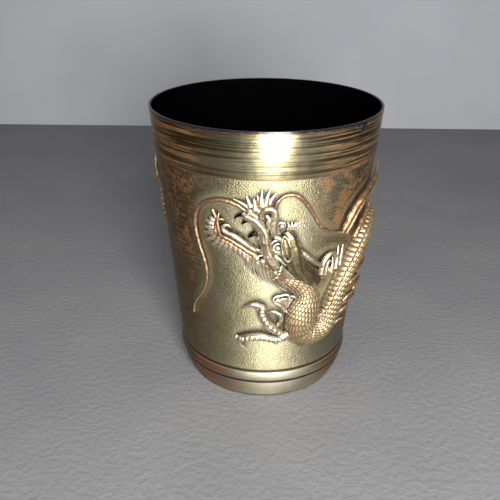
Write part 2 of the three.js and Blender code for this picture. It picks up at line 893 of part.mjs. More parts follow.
add("foot_ring", footRing(), brass);
add("floor_plate", floorPlate(), brass);
add("cup_wall", cupWall(), brass);
add("inner_liner", innerLiner(), blackLacquer);
for (const { name, solid } of fitted([...fangCastings, ...brassCastings])) {
  add(name, geometryOf(solid), copperyBrass);
}

export default cup;
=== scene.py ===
# %% [markdown]
# # A brass cup with a dragon wound round it
# This lesson dresses a measured model of a small tapered cup, of the kind used for brushes or pens.
# The measured model is faceted and plain: it carries the sizes. Here every surface that shows gets
# its real finish, and the dragon, which the measured model holds as simple castings, gets its scales,
# ribs, hair and claws. Nothing is moved: each new piece is laid where its plain one stands.

# %% Load the measured model
import math
import bpy
import numpy as np
from mathutils import Matrix, Vector


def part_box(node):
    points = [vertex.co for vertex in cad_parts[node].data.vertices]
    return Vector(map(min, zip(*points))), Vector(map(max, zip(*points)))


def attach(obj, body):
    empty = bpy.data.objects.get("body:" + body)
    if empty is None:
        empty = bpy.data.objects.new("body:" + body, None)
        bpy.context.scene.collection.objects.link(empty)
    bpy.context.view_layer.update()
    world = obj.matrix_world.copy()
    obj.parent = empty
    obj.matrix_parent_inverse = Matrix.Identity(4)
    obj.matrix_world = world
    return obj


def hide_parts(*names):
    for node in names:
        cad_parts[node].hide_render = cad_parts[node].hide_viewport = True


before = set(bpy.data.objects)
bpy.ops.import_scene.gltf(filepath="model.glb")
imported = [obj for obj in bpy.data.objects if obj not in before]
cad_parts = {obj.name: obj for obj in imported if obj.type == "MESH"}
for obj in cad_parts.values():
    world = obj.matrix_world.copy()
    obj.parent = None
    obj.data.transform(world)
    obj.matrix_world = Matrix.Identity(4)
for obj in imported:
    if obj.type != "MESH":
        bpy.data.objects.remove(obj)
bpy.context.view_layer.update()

print("measured pieces:", len(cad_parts))

# %% [markdown]
# ## One ruler for everything
# The maker's drawing is in millimetres and Blender works in metres, so one number turns one into the
# other. The cup's wall is a plain cone. Its rim and its height are read from the measured model, so
# that the new surfaces lie on the old ones.

# %% The cup's sizes
MM = 0.001
wall_low, wall_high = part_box("cup_wall")
rim_radius = wall_high[0] / MM
rim_z = wall_high[2] / MM
wall_foot_z = wall_low[2] / MM
wall_foot_radius = 31.7
band_height = 15.3
band_step = 0.25
layout_radius = 36.0  # the relief is drawn flat, with 1 mm of arc at this radius as 1 mm
layout_base = 2.2  # the drawing's zero height lies this far above the table

wall_taper = (rim_radius - wall_foot_radius) / (rim_z - wall_foot_z)
band_z = rim_z - band_height


def wall_radius(z):
    """The wall's outer radius at a height, both in millimetres."""
    return wall_foot_radius + (z - wall_foot_z) * wall_taper


print("rim radius %.1f mm, height %.1f mm, taper %.3f" % (rim_radius, rim_z, wall_taper))

# %% [markdown]
# ## The camera
# The cup was photographed from close by and a little above its rim. A long lens would make its sides
# look parallel. So the camera stands where the photograph's did: 23 cm from the axis and 5 cm above
# the rim, tipped down by 25 degrees, and turned and rolled a touch to the left.

# %% Place the camera
camera_away = 232.5
camera_above_rim = 53.0
camera_down = 25.23
camera_left = 1.29
camera_roll = 0.29
focal_length = 48.96
sensor_width = 36

bpy.ops.object.select_all(action="DESELECT")
bpy.ops.object.camera_add(location=(0, -camera_away * MM, (rim_z + camera_above_rim) * MM))
camera = bpy.context.object
camera.name = "camera"
camera.data.lens = focal_length
camera.data.sensor_width = sensor_width
camera.data.clip_start = 0.01
aim = (
    Matrix.Rotation(math.radians(camera_left), 4, "Z")
    @ Matrix.Rotation(math.radians(90 - camera_down), 4, "X")
    @ Matrix.Rotation(math.radians(camera_roll), 4, "Z")
)
camera.rotation_euler = aim.to_euler()
bpy.context.scene.camera = camera
print("camera at", [round(c, 4) for c in camera.location])

# %% [markdown]
# ## Colours and nodes
# A colour given here is an sRGB hex value, and the renderer works in linear light, so one function
# turns the first into the second. Another adds one shader node, with its settings and its inputs, so
# that a material below reads from top to bottom like a recipe. The settings that come back in every
# recipe have names: four kinds of sum, and the easing that fades one look into another.

# %% Helpers for materials
times = {"operation": "MULTIPLY"}
minus = {"operation": "SUBTRACT"}
larger = {"operation": "MAXIMUM"}
times_plus = {"operation": "MULTIPLY_ADD"}
eased = {"interpolation_type": "SMOOTHSTEP"}


def linear(hex_colour):
    """An sRGB hex colour in linear light, with full opacity."""
    channels = []
    for start in (0, 2, 4):
        value = int(hex_colour[start:start + 2], 16) / 255
        channels.append(value / 12.92 if value <= 0.04045 else ((value + 0.055) / 1.055) ** 2.4)
    return (*channels, 1.0)


def scale_of(size_mm):
    """The scale that makes a noise's blotches about size_mm across."""
    return 1 / (size_mm * MM)


def add_node(tree, kind, *inputs, output=0, **settings):
    """Adds a shader node and returns one of its outputs.

    Its inputs are numbers, colours and other nodes' outputs in the order of its sockets, or one
    dictionary that gives them by the sockets' names.
    """
    made = tree.nodes.new("ShaderNode" + kind)
    for name, value in settings.items():
        setattr(made, name, value)
    named = inputs[0] if inputs and isinstance(inputs[0], dict) else dict(enumerate(inputs))
    for socket, value in named.items():
        if isinstance(value, bpy.types.NodeSocket):
            tree.links.new(value, made.inputs[socket])
        else:
            made.inputs[socket].default_value = value
    return made.outputs[output]


def new_material(name):
    material = bpy.data.materials.new(name)
    material.use_nodes = True
    tree = material.node_tree
    tree.nodes.clear()
    shader = add_node(tree, "BsdfPrincipled").node
    surface = tree.nodes.new("ShaderNodeOutputMaterial")
    tree.links.new(shader.outputs["BSDF"], surface.inputs["Surface"])
    return material, tree, shader


print("black patina in linear light:", [round(c, 4) for c in linear("17110b")[:3]])

# %% [markdown]
# ## The brass and its patina
# The cup is cast brass under a brown-black patina that was rubbed back by hand. Where the cloth
# reached, the metal is a pale, greenish gold. Where it didn't, the colour stays in, and is nearly
# black in the narrowest corners. So one recipe serves all the brass. It starts from the greenish gold
# and darkens the corners that ambient occlusion finds, both as that patina and as painted shade,
# because less light falls there. Three noises, coarse to fine, keep any stretch of metal from being
# one even tone.

# %% Aged brass
def aged_brass(name, gold, pale, dark, corner_mm, corner_low, corner_high):
    """Starts an aged brass. The dictionary it returns has the sockets that a finish builds on."""
    material, tree, shader = new_material(name)
    place = add_node(tree, "TexCoord", output="Object")
    axes = add_node(tree, "SeparateXYZ", place).node.outputs
    made = {"place": place, "across": axes["X"], "height": axes["Z"], "dark": linear(dark)}
    for key, size_mm, detail, roughness in (("slow", 16, 3.0, 0.55), ("middle", 5, 4.0, 0.55),
                                            ("fine", 1.1, 4.0, 0.65)):
        made[key] = add_node(tree, "TexNoise", {
            "Vector": place, "Scale": scale_of(size_mm), "Detail": detail, "Roughness": roughness})
    paler = add_node(tree, "MapRange", made["slow"], 0.35, 0.65, **eased)
    made["colour"] = add_node(tree, "MixRGB", paler, linear(gold), linear(pale))
    # Ambient occlusion paints the corners dark: patina, and painted shade
    openness = add_node(tree, "AmbientOcclusion", {"Distance": corner_mm * MM}, output="AO", samples=8)
    corners = add_node(tree, "MapRange", openness, corner_low, corner_high, 1.0, 0.0, **eased)
    uneven = add_node(tree, "MapRange", made["fine"], 0.2, 0.6, 0.8, 1.0, **eased)
    made["corners"] = add_node(tree, "Math", corners, uneven, **times)
    return material, tree, shader, made


def turned_metal(tree, shader, amount):
    """Rings from a lathe spread a highlight up and down, across the rings."""
    shader.inputs["Anisotropic"].default_value = amount
    shader.inputs["Anisotropic Rotation"].default_value = 0.25
    tangent = add_node(tree, "Tangent", direction_type="RADIAL", axis="Z")
    tree.links.new(tangent, shader.inputs["Tangent"])


def lathe_rings(tree, place, per_mm):
    """Noise that changes per_mm times in each millimetre of height, and hardly at all on the way round."""
    around = 26.0  # once in about 4 cm
    squeezed = add_node(tree, "VectorMath", place, (around, around, per_mm / MM), **times)
    return add_node(tree, "TexNoise", {
        "Vector": squeezed, "Scale": 1.0, "Detail": 3.0, "Roughness": 0.6})


print("aged brass recipe ready")

# %% [markdown]
# ## Copper and lacquer on the wall
# Two things lie on the wall in patches. Copper red shows on the flanks, where the patina was rubbed
# thin in slanting strokes. On the rough ground it is a speckle, and on the turned band it keeps to the
# rings. And the black lacquer of the inside runs over the lip in ragged spots. Each is worked out as a
# share from 0 to 1, which the wall's finish then uses.

# %% Patches on the wall
# Each spot's degrees to the right of the front, its millimetres below the rim, and its size
lacquer_spots = ((50, 1.5, 1.9), (46.5, 0.9, 1.0), (52.5, 2.4, 0.9), (-33, 0.4, 0.9), (-24, 0.3, 0.7),
                 (120, 0.8, 1.3), (-140, 0.6, 1.1))


def lacquer_spot(tree, place, ragged, angle, height, size_mm):
    """A ragged spot of 1 at a place on the wall, fading to 0 at its edge."""
    turn = math.radians(angle)
    radius = wall_radius(height) * MM
    middle = (radius * math.sin(turn), -radius * math.cos(turn), height * MM)
    size = size_mm * MM
    away = add_node(tree, "VectorMath", place, middle, output="Value", operation="DISTANCE")
    swing = add_node(tree, "Math", ragged, 0.5, **minus)
    reach = add_node(tree, "Math", swing, 3.2 * size, away, **times_plus)
    return add_node(tree, "MapRange", reach, 0.85 * size, size, 1.0, 0.0, **eased)


def zone(tree, made, x_from, x_to, z_from, z_to, most):
    """The share called most on one flank above a height, fading to 0 over the ranges in millimetres."""
    aside = add_node(tree, "MapRange", made["across"], x_from * MM, x_to * MM, 0.0, most, **eased)
    above = add_node(tree, "MapRange", made["height"], z_from * MM, z_to * MM, **eased)
    return add_node(tree, "Math", aside, above, **times)


def wall_copper(tree, made, band, rings):
    """How much copper shows: speckled on the ground, and in lines on the turned band."""
    slanted = add_node(tree, "Mapping", {
        "Vector": made["place"], "Rotation": (0.0, math.radians(-48), 0.0),
        "Scale": (260.0, 260.0, 1300.0)})  # strokes 4 mm long and 0.8 mm wide
    strokes = add_node(tree, "TexNoise", {"Vector": slanted, "Scale": 1.0, "Detail": 4.0, "Roughness": 0.65})
    where = zone(tree, made, 11, 22, 62, 72, 1.0)
    for left in ((-17, -26, 34, 58, 0.8), (-13, -24, -20, -10, 0.3)):
        where = add_node(tree, "Math", where, zone(tree, made, *left), **larger)
    half = add_node(tree, "Math", strokes, 0.5, **times)
    clouds = add_node(tree, "Math", made["middle"], 0.5, half, **times_plus)
    blotch = add_node(tree, "MapRange", clouds, 0.44, 0.58, **eased)
    speckle = add_node(tree, "MapRange", made["fine"], 0.4, 0.54, 0.15, 1.0, **eased)
    speckled = add_node(tree, "Math", blotch, speckle, **times)
    lines = add_node(tree, "MapRange", rings, 0.46, 0.58, **eased)
    broken = add_node(tree, "MapRange", strokes, 0.35, 0.6, 0.3, 0.9, **eased)
    lined = add_node(tree, "Math", lines, broken, **times)
    pattern = add_node(tree, "Mix", {"Factor": band, "A": speckled, "B": lined})
    return add_node(tree, "Math", where, pattern, **times)


print("lacquer runs over the lip in", len(lacquer_spots), "spots")

# %% [markdown]
# ## The wall's finish
# The wall wears three finishes at once. Above the step the band is turned on a lathe, and its fine
# rings stretch a highlight up and down. Below it the ground was struck all over with a small punch, so
# it is matt and sparkles a little. On the flanks the colour is painted darker and browner: thicker
# patina, and painted shade where the wall turns away from the light. One material holds all of them,
# because on the real wall they are one sheet.

# %% Wall finish
def wall_colour(tree, made, band, rings, coppery):
    """The ground's greenish gold, its flanks' patina and painted shade, its copper, its rings and its worn
    step.
    """
    height = made["height"]
    # The flanks, counted from 5 mm right of the front, are painted darker and browner: patina, and painted
    # shade
    off_middle = add_node(tree, "Math", made["across"], 5 * MM, **minus)
    off_middle = add_node(tree, "Math", off_middle, operation="ABSOLUTE")
    flank = add_node(tree, "MapRange", off_middle, 12 * MM, 36 * MM, **eased)
    cloudy = add_node(tree, "MapRange", made["middle"], 0.3, 0.62, 0.6375, 0.85, **eased)
    patina = add_node(tree, "Math", flank, cloudy, **times)
    brown = add_node(tree, "MixRGB", band, linear("664420"), linear("8a5e2c"))
    colour = add_node(tree, "MixRGB", patina, made["colour"], brown)
    copper = add_node(tree, "Math", coppery, 0.95, **times)
    colour = add_node(tree, "MixRGB", copper, colour, linear("96643c"))
    dark_rings = add_node(tree, "MapRange", rings, 0.4, 0.56, 0.7, 0.0, **eased)
    dark_rings = add_node(tree, "Math", band, dark_rings, **times)
    colour = add_node(tree, "MixRGB", dark_rings, colour, linear("54401f"))
    over = add_node(tree, "MapRange", height, (band_z - 0.3) * MM, (band_z - 0.1) * MM, **eased)
    under = add_node(tree, "MapRange", height, (band_z + 0.1) * MM, (band_z + 0.35) * MM, 0.6, 0.0, **eased)
    worn_step = add_node(tree, "Math", over, under, **times)
    return add_node(tree, "MixRGB", worn_step, colour, linear("9c6c42"))


def wall_finish():
    # Ambient occlusion within 3.2 mm paints a dark rim round the dragon and in the corners: patina, and
    # painted shade
    material, tree, shader, made = aged_brass("aged_brass_wall", "9d9676", "aba588", "14100c",
                                              3.2, 0.5, 0.99)
    place, height = made["place"], made["height"]
    band = add_node(tree, "MapRange", height, (band_z - 0.2) * MM, (band_z + 0.05) * MM, **eased)
    rings = lathe_rings(tree, place, 1.5)
    coppery = wall_copper(tree, made, band, rings)
    colour = wall_colour(tree, made, band, rings, coppery)
    # Copper shows in a narrow, ragged line under the lacquered lip
    ragged = add_node(tree, "TexNoise", {
        "Vector": place, "Scale": scale_of(2.2), "Detail": 4.0, "Roughness": 0.7})
    lip_edge = add_node(tree, "Math", ragged, 1.6 * MM, height, **times_plus)
    bare = add_node(tree, "MapRange", lip_edge, (rim_z - 0.9) * MM, (rim_z - 0.1) * MM, 0.0, 0.75, **eased)
    colour = add_node(tree, "MixRGB", bare, colour, linear("8a5a36"))
    # The corner above the foot is painted dark: old polish gathered there, and painted shade under the foot's
    # bead
    seam = add_node(tree, "MapRange", height, wall_foot_z * MM, (wall_foot_z + 0.9) * MM, 1.0, 0.0, **eased)
    patina_and_shade = add_node(tree, "Math", made["corners"], seam, **larger)
    colour = add_node(tree, "MixRGB", patina_and_shade, colour, made["dark"])
    lip = add_node(tree, "MapRange", lip_edge, (rim_z - 0.05) * MM, (rim_z + 0.15) * MM, **eased)
    for angle, down, size_mm in lacquer_spots:
        spot = lacquer_spot(tree, place, ragged, angle, rim_z - down, size_mm)
        lip = add_node(tree, "Math", lip, spot, **larger)
    colour = add_node(tree, "MixRGB", lip, colour, linear("0d0e14"))
    tree.links.new(colour, shader.inputs["Base Color"])
    # The copper is a matt bloom and not bare metal, so it shows even where nothing bright is mirrored
    bloom = add_node(tree, "Math", coppery, 0.3, **times)
    # Lacquer, and the corners' patina and painted shade, are not metal either
    not_metal = add_node(tree, "Math", lip, made["corners"], **larger)
    not_metal = add_node(tree, "Math", bloom, not_metal, **larger)
    metal = add_node(tree, "Math", 1.0, not_metal, **minus)
    tree.links.new(metal, shader.inputs["Metallic"])
    matt = add_node(tree, "Math", made["fine"], 0.16, 0.4, **times_plus)
    turned = add_node(tree, "Math", made["middle"], 0.14, 0.26, **times_plus)
    roughness = add_node(tree, "Mix", {"Factor": band, "A": matt, "B": turned})
    tree.links.new(roughness, shader.inputs["Roughness"])
    # The punch marks are about 0.4 mm apart and the wall waves a little, as a cast one does
    punched = add_node(tree, "TexNoise", {
        "Vector": place, "Scale": scale_of(0.42), "Detail": 2.0, "Roughness": 0.5})
    below = add_node(tree, "Math", 1.0, band, **minus)
    punched = add_node(tree, "Math", below, punched, **times)
    turned_rings = add_node(tree, "Math", band, rings, **times)
    waves = add_node(tree, "Math", made["slow"], 0.5 * MM, **times)
    relief = add_node(tree, "Math", punched, 0.22 * MM, waves, **times_plus)
    relief = add_node(tree, "Math", turned_rings, 0.12 * MM, relief, **times_plus)
    bump = add_node(tree, "Bump", {"Height": relief, "Distance": 1.0, "Strength": 0.9})
    tree.links.new(bump, shader.inputs["Normal"])
    turned_metal(tree, shader, 0.8)
    return material


wall_material = wall_finish()
print("made", wall_material.name)

# %% [markdown]
# ## The foot's finish
# The foot ring was turned too, and hands rub it less than the rim. Its grooves are painted black,
# as old polish and as painted shade, its flanks are painted darker, as patina and as painted shade,
# and copper shows on both flanks.

# %% Foot finish
def foot_finish():
    material, tree, shader, made = aged_brass("aged_brass_foot", "8c8470", "a09884", "100c08",
                                              1.6, 0.5, 0.94)
    height = made["height"]
    # The flanks, counted from 4 mm right of the front, are painted darker: patina, and painted shade
    off_middle = add_node(tree, "Math", made["across"], 4 * MM, **minus)
    off_middle = add_node(tree, "Math", off_middle, operation="ABSOLUTE")
    flank = add_node(tree, "MapRange", off_middle, 8 * MM, 27 * MM, **eased)
    patina = add_node(tree, "Math", flank, 0.7, **times)
    colour = add_node(tree, "MixRGB", patina, made["colour"], linear("4c3a26"))
    blotch = add_node(tree, "MapRange", made["middle"], 0.42, 0.6, 0.0, 0.8, **eased)
    copper = add_node(tree, "Math", flank, blotch, **times)
    colour = add_node(tree, "MixRGB", copper, colour, linear("a06a48"))
    # The groove between the bead and the flare, and the one above the bead, are painted dark: old polish, and
    # painted shade in the grooves
    over = add_node(tree, "MapRange", height, 7.5 * MM, 7.9 * MM, **eased)
    under = add_node(tree, "MapRange", height, 9.0 * MM, 9.5 * MM, 1.0, 0.0, **eased)
    grooves = add_node(tree, "Math", over, under, **times)
    upper_groove = add_node(tree, "MapRange", height, 12.2 * MM, 12.8 * MM, **eased)
    grooves = add_node(tree, "Math", grooves, upper_groove, **larger)
    patina_and_shade = add_node(tree, "Math", made["corners"], grooves, **larger)
    colour = add_node(tree, "MixRGB", patina_and_shade, colour, made["dark"])
    tree.links.new(colour, shader.inputs["Base Color"])
    metal = add_node(tree, "Math", 1.0, patina_and_shade, **minus)
    tree.links.new(metal, shader.inputs["Metallic"])
    roughness = add_node(tree, "Math", made["fine"], 0.14, 0.46, **times_plus)
    tree.links.new(roughness, shader.inputs["Roughness"])
    rings = add_node(tree, "Math", lathe_rings(tree, made["place"], 1.3), 0.1 * MM, **times)
    bump = add_node(tree, "Bump", {"Height": rings, "Distance": 1.0, "Strength": 0.8})
    tree.links.new(bump, shader.inputs["Normal"])
    turned_metal(tree, shader, 0.5)
    return material


foot_material = foot_finish()
print("made", foot_material.name)

# %% [markdown]
# ## The dragon's finish
# The dragon stands proud of the wall, so it was rubbed hardest: its ridges are pale gold, its flanks
# are a warm brown, and every cut between two scales is nearly black. The recipe is the same aged brass
# with a wider swing between bright and dark, and a fine casting skin as bump. Pointiness finds the
# ridges and the narrow hollows. The ridges are painted pale, as rubbed metal and as a painted
# highlight, and the hollows and cuts are painted dark, as patina and as painted shade. The scaled
# pieces also carry an attribute that says how deep a point lies between two scales, because those
# cuts are too narrow for the other measures.

# %% Relief finish
def relief_finish(name, gold, pale, flank, rub_and_highlight, roughest=0.4):
    """rub_and_highlight: how pale ridges are painted, as bared metal and a painted highlight; roughest:
    roughness before the casting's grain.
    """
    material, tree, shader, made = aged_brass(name, gold, gold, "120c08", 1.8, 0.34, 0.92)
    point = add_node(tree, "NewGeometry", output="Pointiness")
    # Ridges painted pale: rubbed metal, and a painted highlight. Hollows and cuts painted dark: patina, and
    # painted shade
    ridges = add_node(tree, "MapRange", point, 0.5, 0.545, 0.0, rub_and_highlight, **eased)
    hollows = add_node(tree, "MapRange", point, 0.44, 0.493, 1.0, 0.0, **eased)
    cuts = add_node(tree, "Attribute", output="Fac", attribute_name="cut")
    warm = add_node(tree, "MapRange", made["middle"], 0.45, 0.62, 0.0, 0.7, **eased)
    colour = add_node(tree, "MixRGB", warm, made["colour"], linear(flank))
    colour = add_node(tree, "MixRGB", ridges, colour, linear(pale))
    patina_and_shade = add_node(tree, "Math", hollows, cuts, **larger)
    patina_and_shade = add_node(tree, "Math", made["corners"], patina_and_shade, **larger)
    colour = add_node(tree, "MixRGB", patina_and_shade, colour, made["dark"])
    tree.links.new(colour, shader.inputs["Base Color"])
    metal = add_node(tree, "Math", patina_and_shade, -0.8, 1.0, **times_plus)
    tree.links.new(metal, shader.inputs["Metallic"])
    roughness = add_node(tree, "Math", made["fine"], 0.16, roughest, **times_plus)
    roughness = add_node(tree, "Math", patina_and_shade, 0.35, roughness, **times_plus)
    tree.links.new(roughness, shader.inputs["Roughness"])
    skin = add_node(tree, "TexNoise", {
        "Vector": made["place"], "Scale": scale_of(0.5), "Detail": 3.0, "Roughness": 0.55})
    skin = add_node(tree, "Math", skin, 0.06 * MM, **times)
    bump = add_node(tree, "Bump", {"Height": skin, "Distance": 1.0, "Strength": 0.8})
    tree.links.new(bump, shader.inputs["Normal"])
    return material


relief_gold = relief_finish("rubbed_cast_brass", "a89c80", "f0e8d4", "7c6244", 0.9)
relief_scales = relief_finish("scaled_cast_brass", "877557", "d8caaa", "6e5236", 0.7, 0.44)
relief_olive = relief_finish("olive_cast_brass", "7a7258", "bcb290", "5e5238", 0.6)
relief_copper = relief_finish("copper_cast_brass", "8a6a4a", "d4ba9a", "6c4a34", 0.7, 0.42)
relief_shade = relief_finish("shaded_cast_brass", "544a38", "a89878", "50392a", 0.6, 0.42)
# The fangs' near-black finish is painted shade: they lie in shadow under the lip
relief_painted_shade = relief_finish("painted_shade_cast_brass", "1c1610", "40362a", "241a10", 0.4, 0.3)
print("made six finishes for the relief, from", relief_gold.name, "to", relief_painted_shade.name)

# %% [markdown]
# ## The lining's finish
# The inside is black lacquer: no metal shows, and the coat is dull enough to swallow the light. It has
# a touch of dust, which a slow noise in its roughness stands for.

# %% Lacquer
def lacquer_finish():
    material, tree, shader = new_material("black_lacquer")
    place = add_node(tree, "TexCoord", output="Object")
    dust = add_node(tree, "TexNoise", {
        "Vector": place, "Scale": scale_of(8), "Detail": 4.0, "Roughness": 0.55})
    colour = add_node(tree, "MixRGB", dust, linear("010101"), linear("020202"))
    tree.links.new(colour, shader.inputs["Base Color"])
    roughness = add_node(tree, "MapRange", dust, 0.3, 0.7, 0.7, 0.85, **eased)
    tree.links.new(roughness, shader.inputs["Roughness"])
    orange_peel = add_node(tree, "TexNoise", {
        "Vector": place, "Scale": scale_of(1.5), "Detail": 2.0, "Roughness": 0.55})
    orange_peel = add_node(tree, "Math", orange_peel, 0.03 * MM, **times)
    bump = add_node(tree, "Bump", {"Height": orange_peel, "Distance": 1.0, "Strength": 0.5})
    tree.links.new(bump, shader.inputs["Normal"])
    shader.inputs["Specular IOR Level"].default_value = 0.0
    return material


lacquer_material = lacquer_finish()
print("made", lacquer_material.name)

# %% [markdown]
# ## The vessel
# The real cup was cast and then turned, so each of its pieces is an outline swept round the axis. The
# measured model does the same with 60 flat steps, which would show as facets along the rim. Here the
# outline is a loop of points which Blender's spin tool carries round in small steps, and on the wall
# and its lining a narrow bevel takes the sharpness off every turned edge.

# %% Spin an outline
spin_steps = 240
corner_angle = math.radians(25)
smooth_angle = math.radians(40)


def deselect():
    if bpy.context.object and bpy.context.object.mode != "OBJECT":
        bpy.ops.object.mode_set(mode="OBJECT")
    bpy.ops.object.select_all(action="DESELECT")


def select_only(piece):
    deselect()
    piece.select_set(True)
    bpy.context.view_layer.objects.active = piece


def apply_modifier(piece, kind, **settings):
    select_only(piece)
    modifier = piece.modifiers.new(kind.lower(), kind)
    for key, value in settings.items():
        setattr(modifier, key, value)
    bpy.ops.object.modifier_apply(modifier=modifier.name)


def spun(name, outline, material, bevel_mm=0.0):
    """Carries a closed outline of (radius, height) points in millimetres round the cup's axis."""
    deselect()
    bpy.ops.mesh.primitive_circle_add(vertices=len(outline), radius=MM)
    piece = bpy.context.object
    piece.name = name
    for vertex, (radius, z) in zip(piece.data.vertices, outline):
        vertex.co = (0, -radius * MM, z * MM)
    bpy.ops.object.mode_set(mode="EDIT")
    bpy.ops.mesh.select_all(action="SELECT")
    bpy.ops.mesh.spin(steps=spin_steps, angle=math.tau, center=(0, 0, 0), axis=(0, 0, 1))
    bpy.ops.mesh.select_all(action="SELECT")
    bpy.ops.mesh.remove_doubles(threshold=0.001 * MM)
    bpy.ops.mesh.normals_make_consistent(inside=False)
    bpy.ops.object.mode_set(mode="OBJECT")
    if bevel_mm:
        apply_modifier(piece, "BEVEL", width=bevel_mm * MM, segments=2, limit_method="ANGLE",
                       angle_limit=corner_angle)
    select_only(piece)
    bpy.ops.object.shade_smooth_by_angle(angle=smooth_angle)
    piece.data.materials.append(material)
    return piece


print("a spun piece has", spin_steps, "steps round the axis")

# %% [markdown]
# ## The wall and its lining
# The wall is thinner at the lip than below it, which shows as a narrow bright edge round the black
# inside. The band under the rim stands a small step proud of the ground on which the dragon lies. The
# lining is a thin skin just inside the wall.

# %% Spin the wall and its lining
wall_thickness = 1.5
lip_thickness = 0.75
lip_depth = 6
lip_z = rim_z - lip_depth
wall_bevel, liner_bevel = 0.12, 0.1
liner_gap = 0.25
liner_thickness = 0.5
wall_inner_foot = wall_foot_radius - wall_thickness

wall = spun("wall", [
    (wall_foot_radius - band_step, wall_foot_z),
    (wall_radius(band_z) - band_step, band_z - band_step),
    (wall_radius(band_z), band_z),
    (rim_radius, rim_z),
    (rim_radius - lip_thickness, rim_z),
    (wall_radius(lip_z) - wall_thickness, lip_z),
    (wall_inner_foot, wall_foot_z),
], wall_material, wall_bevel)

liner_top = rim_radius - lip_thickness - liner_gap
liner_lip = wall_radius(lip_z) - wall_thickness - liner_gap
liner_foot = wall_inner_foot - liner_gap
floor_top = wall_foot_z + liner_thickness
liner = spun("liner", [
    (0, wall_foot_z),
    (liner_foot, wall_foot_z),
    (liner_lip, lip_z),
    (liner_top, rim_z),
    (liner_top - liner_thickness, rim_z),
    (liner_lip - liner_thickness, lip_z),
    (liner_foot - liner_thickness, floor_top),
    (0, floor_top),
], lacquer_material, liner_bevel)

# %% [markdown]
# ## The foot
# The foot is turned from one ring. From the table up it has a flare, a groove, a round bead and the
# seat for the wall, and a plate inside it closes the cup. Curves make the flare and the bead, because
# a few straight cuts would show as facets where the light runs along them.

# %% Spin the foot
rest_radius = 28.3
hollow_radius = 25.6
edge_round = 0.6
flare_top_radius = 31.0
flare_top_z = 7.9
groove_radius = 30.5
groove_slope_low, groove_slope_high = 0.2, 0.1
bead_low, bead_high = 8.9, 12.8
bead_radius = 31.9
bead_depth = 0.7
ledge_drop = 2.0
plate_gap = 0.3
edge_steps, flare_steps, bead_steps = 3, 8, 12

ledge_z = wall_foot_z - ledge_drop
foot_outline = [(hollow_radius, 0), (rest_radius - edge_round, 0)]
for step in range(1, edge_steps + 1):
    turn = math.pi / 2 * step / edge_steps
    foot_outline.append((rest_radius - edge_round * (1 - math.sin(turn)),
                         edge_round * (1 - math.cos(turn))))
for step in range(1, flare_steps + 1):
    share = step / flare_steps
    swell = math.sin(share * math.pi / 2)
    foot_outline.append((rest_radius + (flare_top_radius - rest_radius) * swell,
                         edge_round + (flare_top_z - edge_round) * share))
foot_outline += [(groove_radius, flare_top_z + groove_slope_low),
                 (groove_radius, bead_low - groove_slope_high)]
for step in range(bead_steps + 1):
    turn = math.pi * step / bead_steps
    foot_outline.append((bead_radius - bead_depth * (1 - math.sin(turn)),
                         bead_low + (bead_high - bead_low) * (1 - math.cos(turn)) / 2))
foot_outline += [
    (bead_radius - bead_depth, wall_foot_z),
    (wall_inner_foot, wall_foot_z),
    (wall_inner_foot, ledge_z),
    (hollow_radius, ledge_z),
]
foot = spun("foot", foot_outline, foot_material)
plate_radius = wall_inner_foot - plate_gap
plate = spun("plate", [(0, ledge_z), (plate_radius, ledge_z), (plate_radius, wall_foot_z),
                       (0, wall_foot_z)], foot_material)

for piece, node, slot in ((wall, "cup_wall", "wall_brass"), (liner, "inner_liner", "liner_lacquer"),
                          (foot, "foot_ring", "foot_brass"), (plate, "floor_plate", "foot_brass")):
    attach(piece, "root")
    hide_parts(node)
    print(node, "now has", len(piece.data.polygons), "faces")

# %% [markdown]
# ## Drawing the dragon flat
# A maker of such ware models the dragon in wax on a flat board and then bends it round the cup. The
# same is done here. A form is laid out in millimetres: u runs to the right along the wall, z runs up,
# and the height is how far it stands off. When it is finished, it is bent round the cone.
#
# Most of the small forms, such as hair, whiskers, fangs and claws, are strokes that swell and taper.
# Each stroke is a curve with a round section. The strokes of one casting are melted together, as wax
# would be, by remeshing them into one skin. A soft noise pushes the skin in and out a little, because
# fingers leave wax lumpy, and the back is cut off flat inside the wall.

# %% Strokes and bending
back_mm = -0.12  # the back lies this far inside the wall's surface, so that no gap shows

wax_lumps = bpy.data.textures.new("wax_lumps", "CLOUDS")
wax_lumps.noise_scale = 2.2 * MM
wax_lumps.noise_depth = 1


def wrap(piece):
    """Bends a flat piece round the wall: x is the arc, z the height, and -y the distance from it."""
    mesh = piece.data
    flat = np.empty(len(mesh.vertices) * 3)
    mesh.vertices.foreach_get("co", flat)
    flat = flat.reshape(-1, 3)
    turn = flat[:, 0] / (layout_radius * MM)
    height = flat[:, 2] + layout_base * MM
    radius = (wall_radius(height / MM) - band_step) * MM - flat[:, 1]
    bent = np.column_stack((radius * np.sin(turn), -radius * np.cos(turn), height))
    mesh.vertices.foreach_set("co", bent.ravel())
    mesh.update()


def finish(piece, node, material):
    """Gives a relief piece its finish, and its place in the measured model."""
    piece.data.materials.clear()
    piece.data.materials.append(material)
    select_only(piece)
    bpy.ops.object.shade_smooth()
    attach(piece, "root")
    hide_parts(node)


def stroke(points):
    """One curved stroke. Each point is (u, z, radius, height of the middle) in millimetres."""
    deselect()
    bpy.ops.curve.primitive_bezier_curve_add()
    made = bpy.context.object
    curve = made.data
    curve.splines.clear()
    spline = curve.splines.new("BEZIER")
    spline.bezier_points.add(len(points) - 1)
    for knot, (u, z, radius, height) in zip(spline.bezier_points, points):
        knot.co = (u * MM, -height * MM, z * MM)
        knot.radius = radius
        knot.handle_left_type = knot.handle_right_type = "AUTO"
    curve.dimensions = "3D"
    curve.bevel_depth = MM
    curve.bevel_resolution = 3
    curve.resolution_u = 6
    curve.use_fill_caps = True
    return made


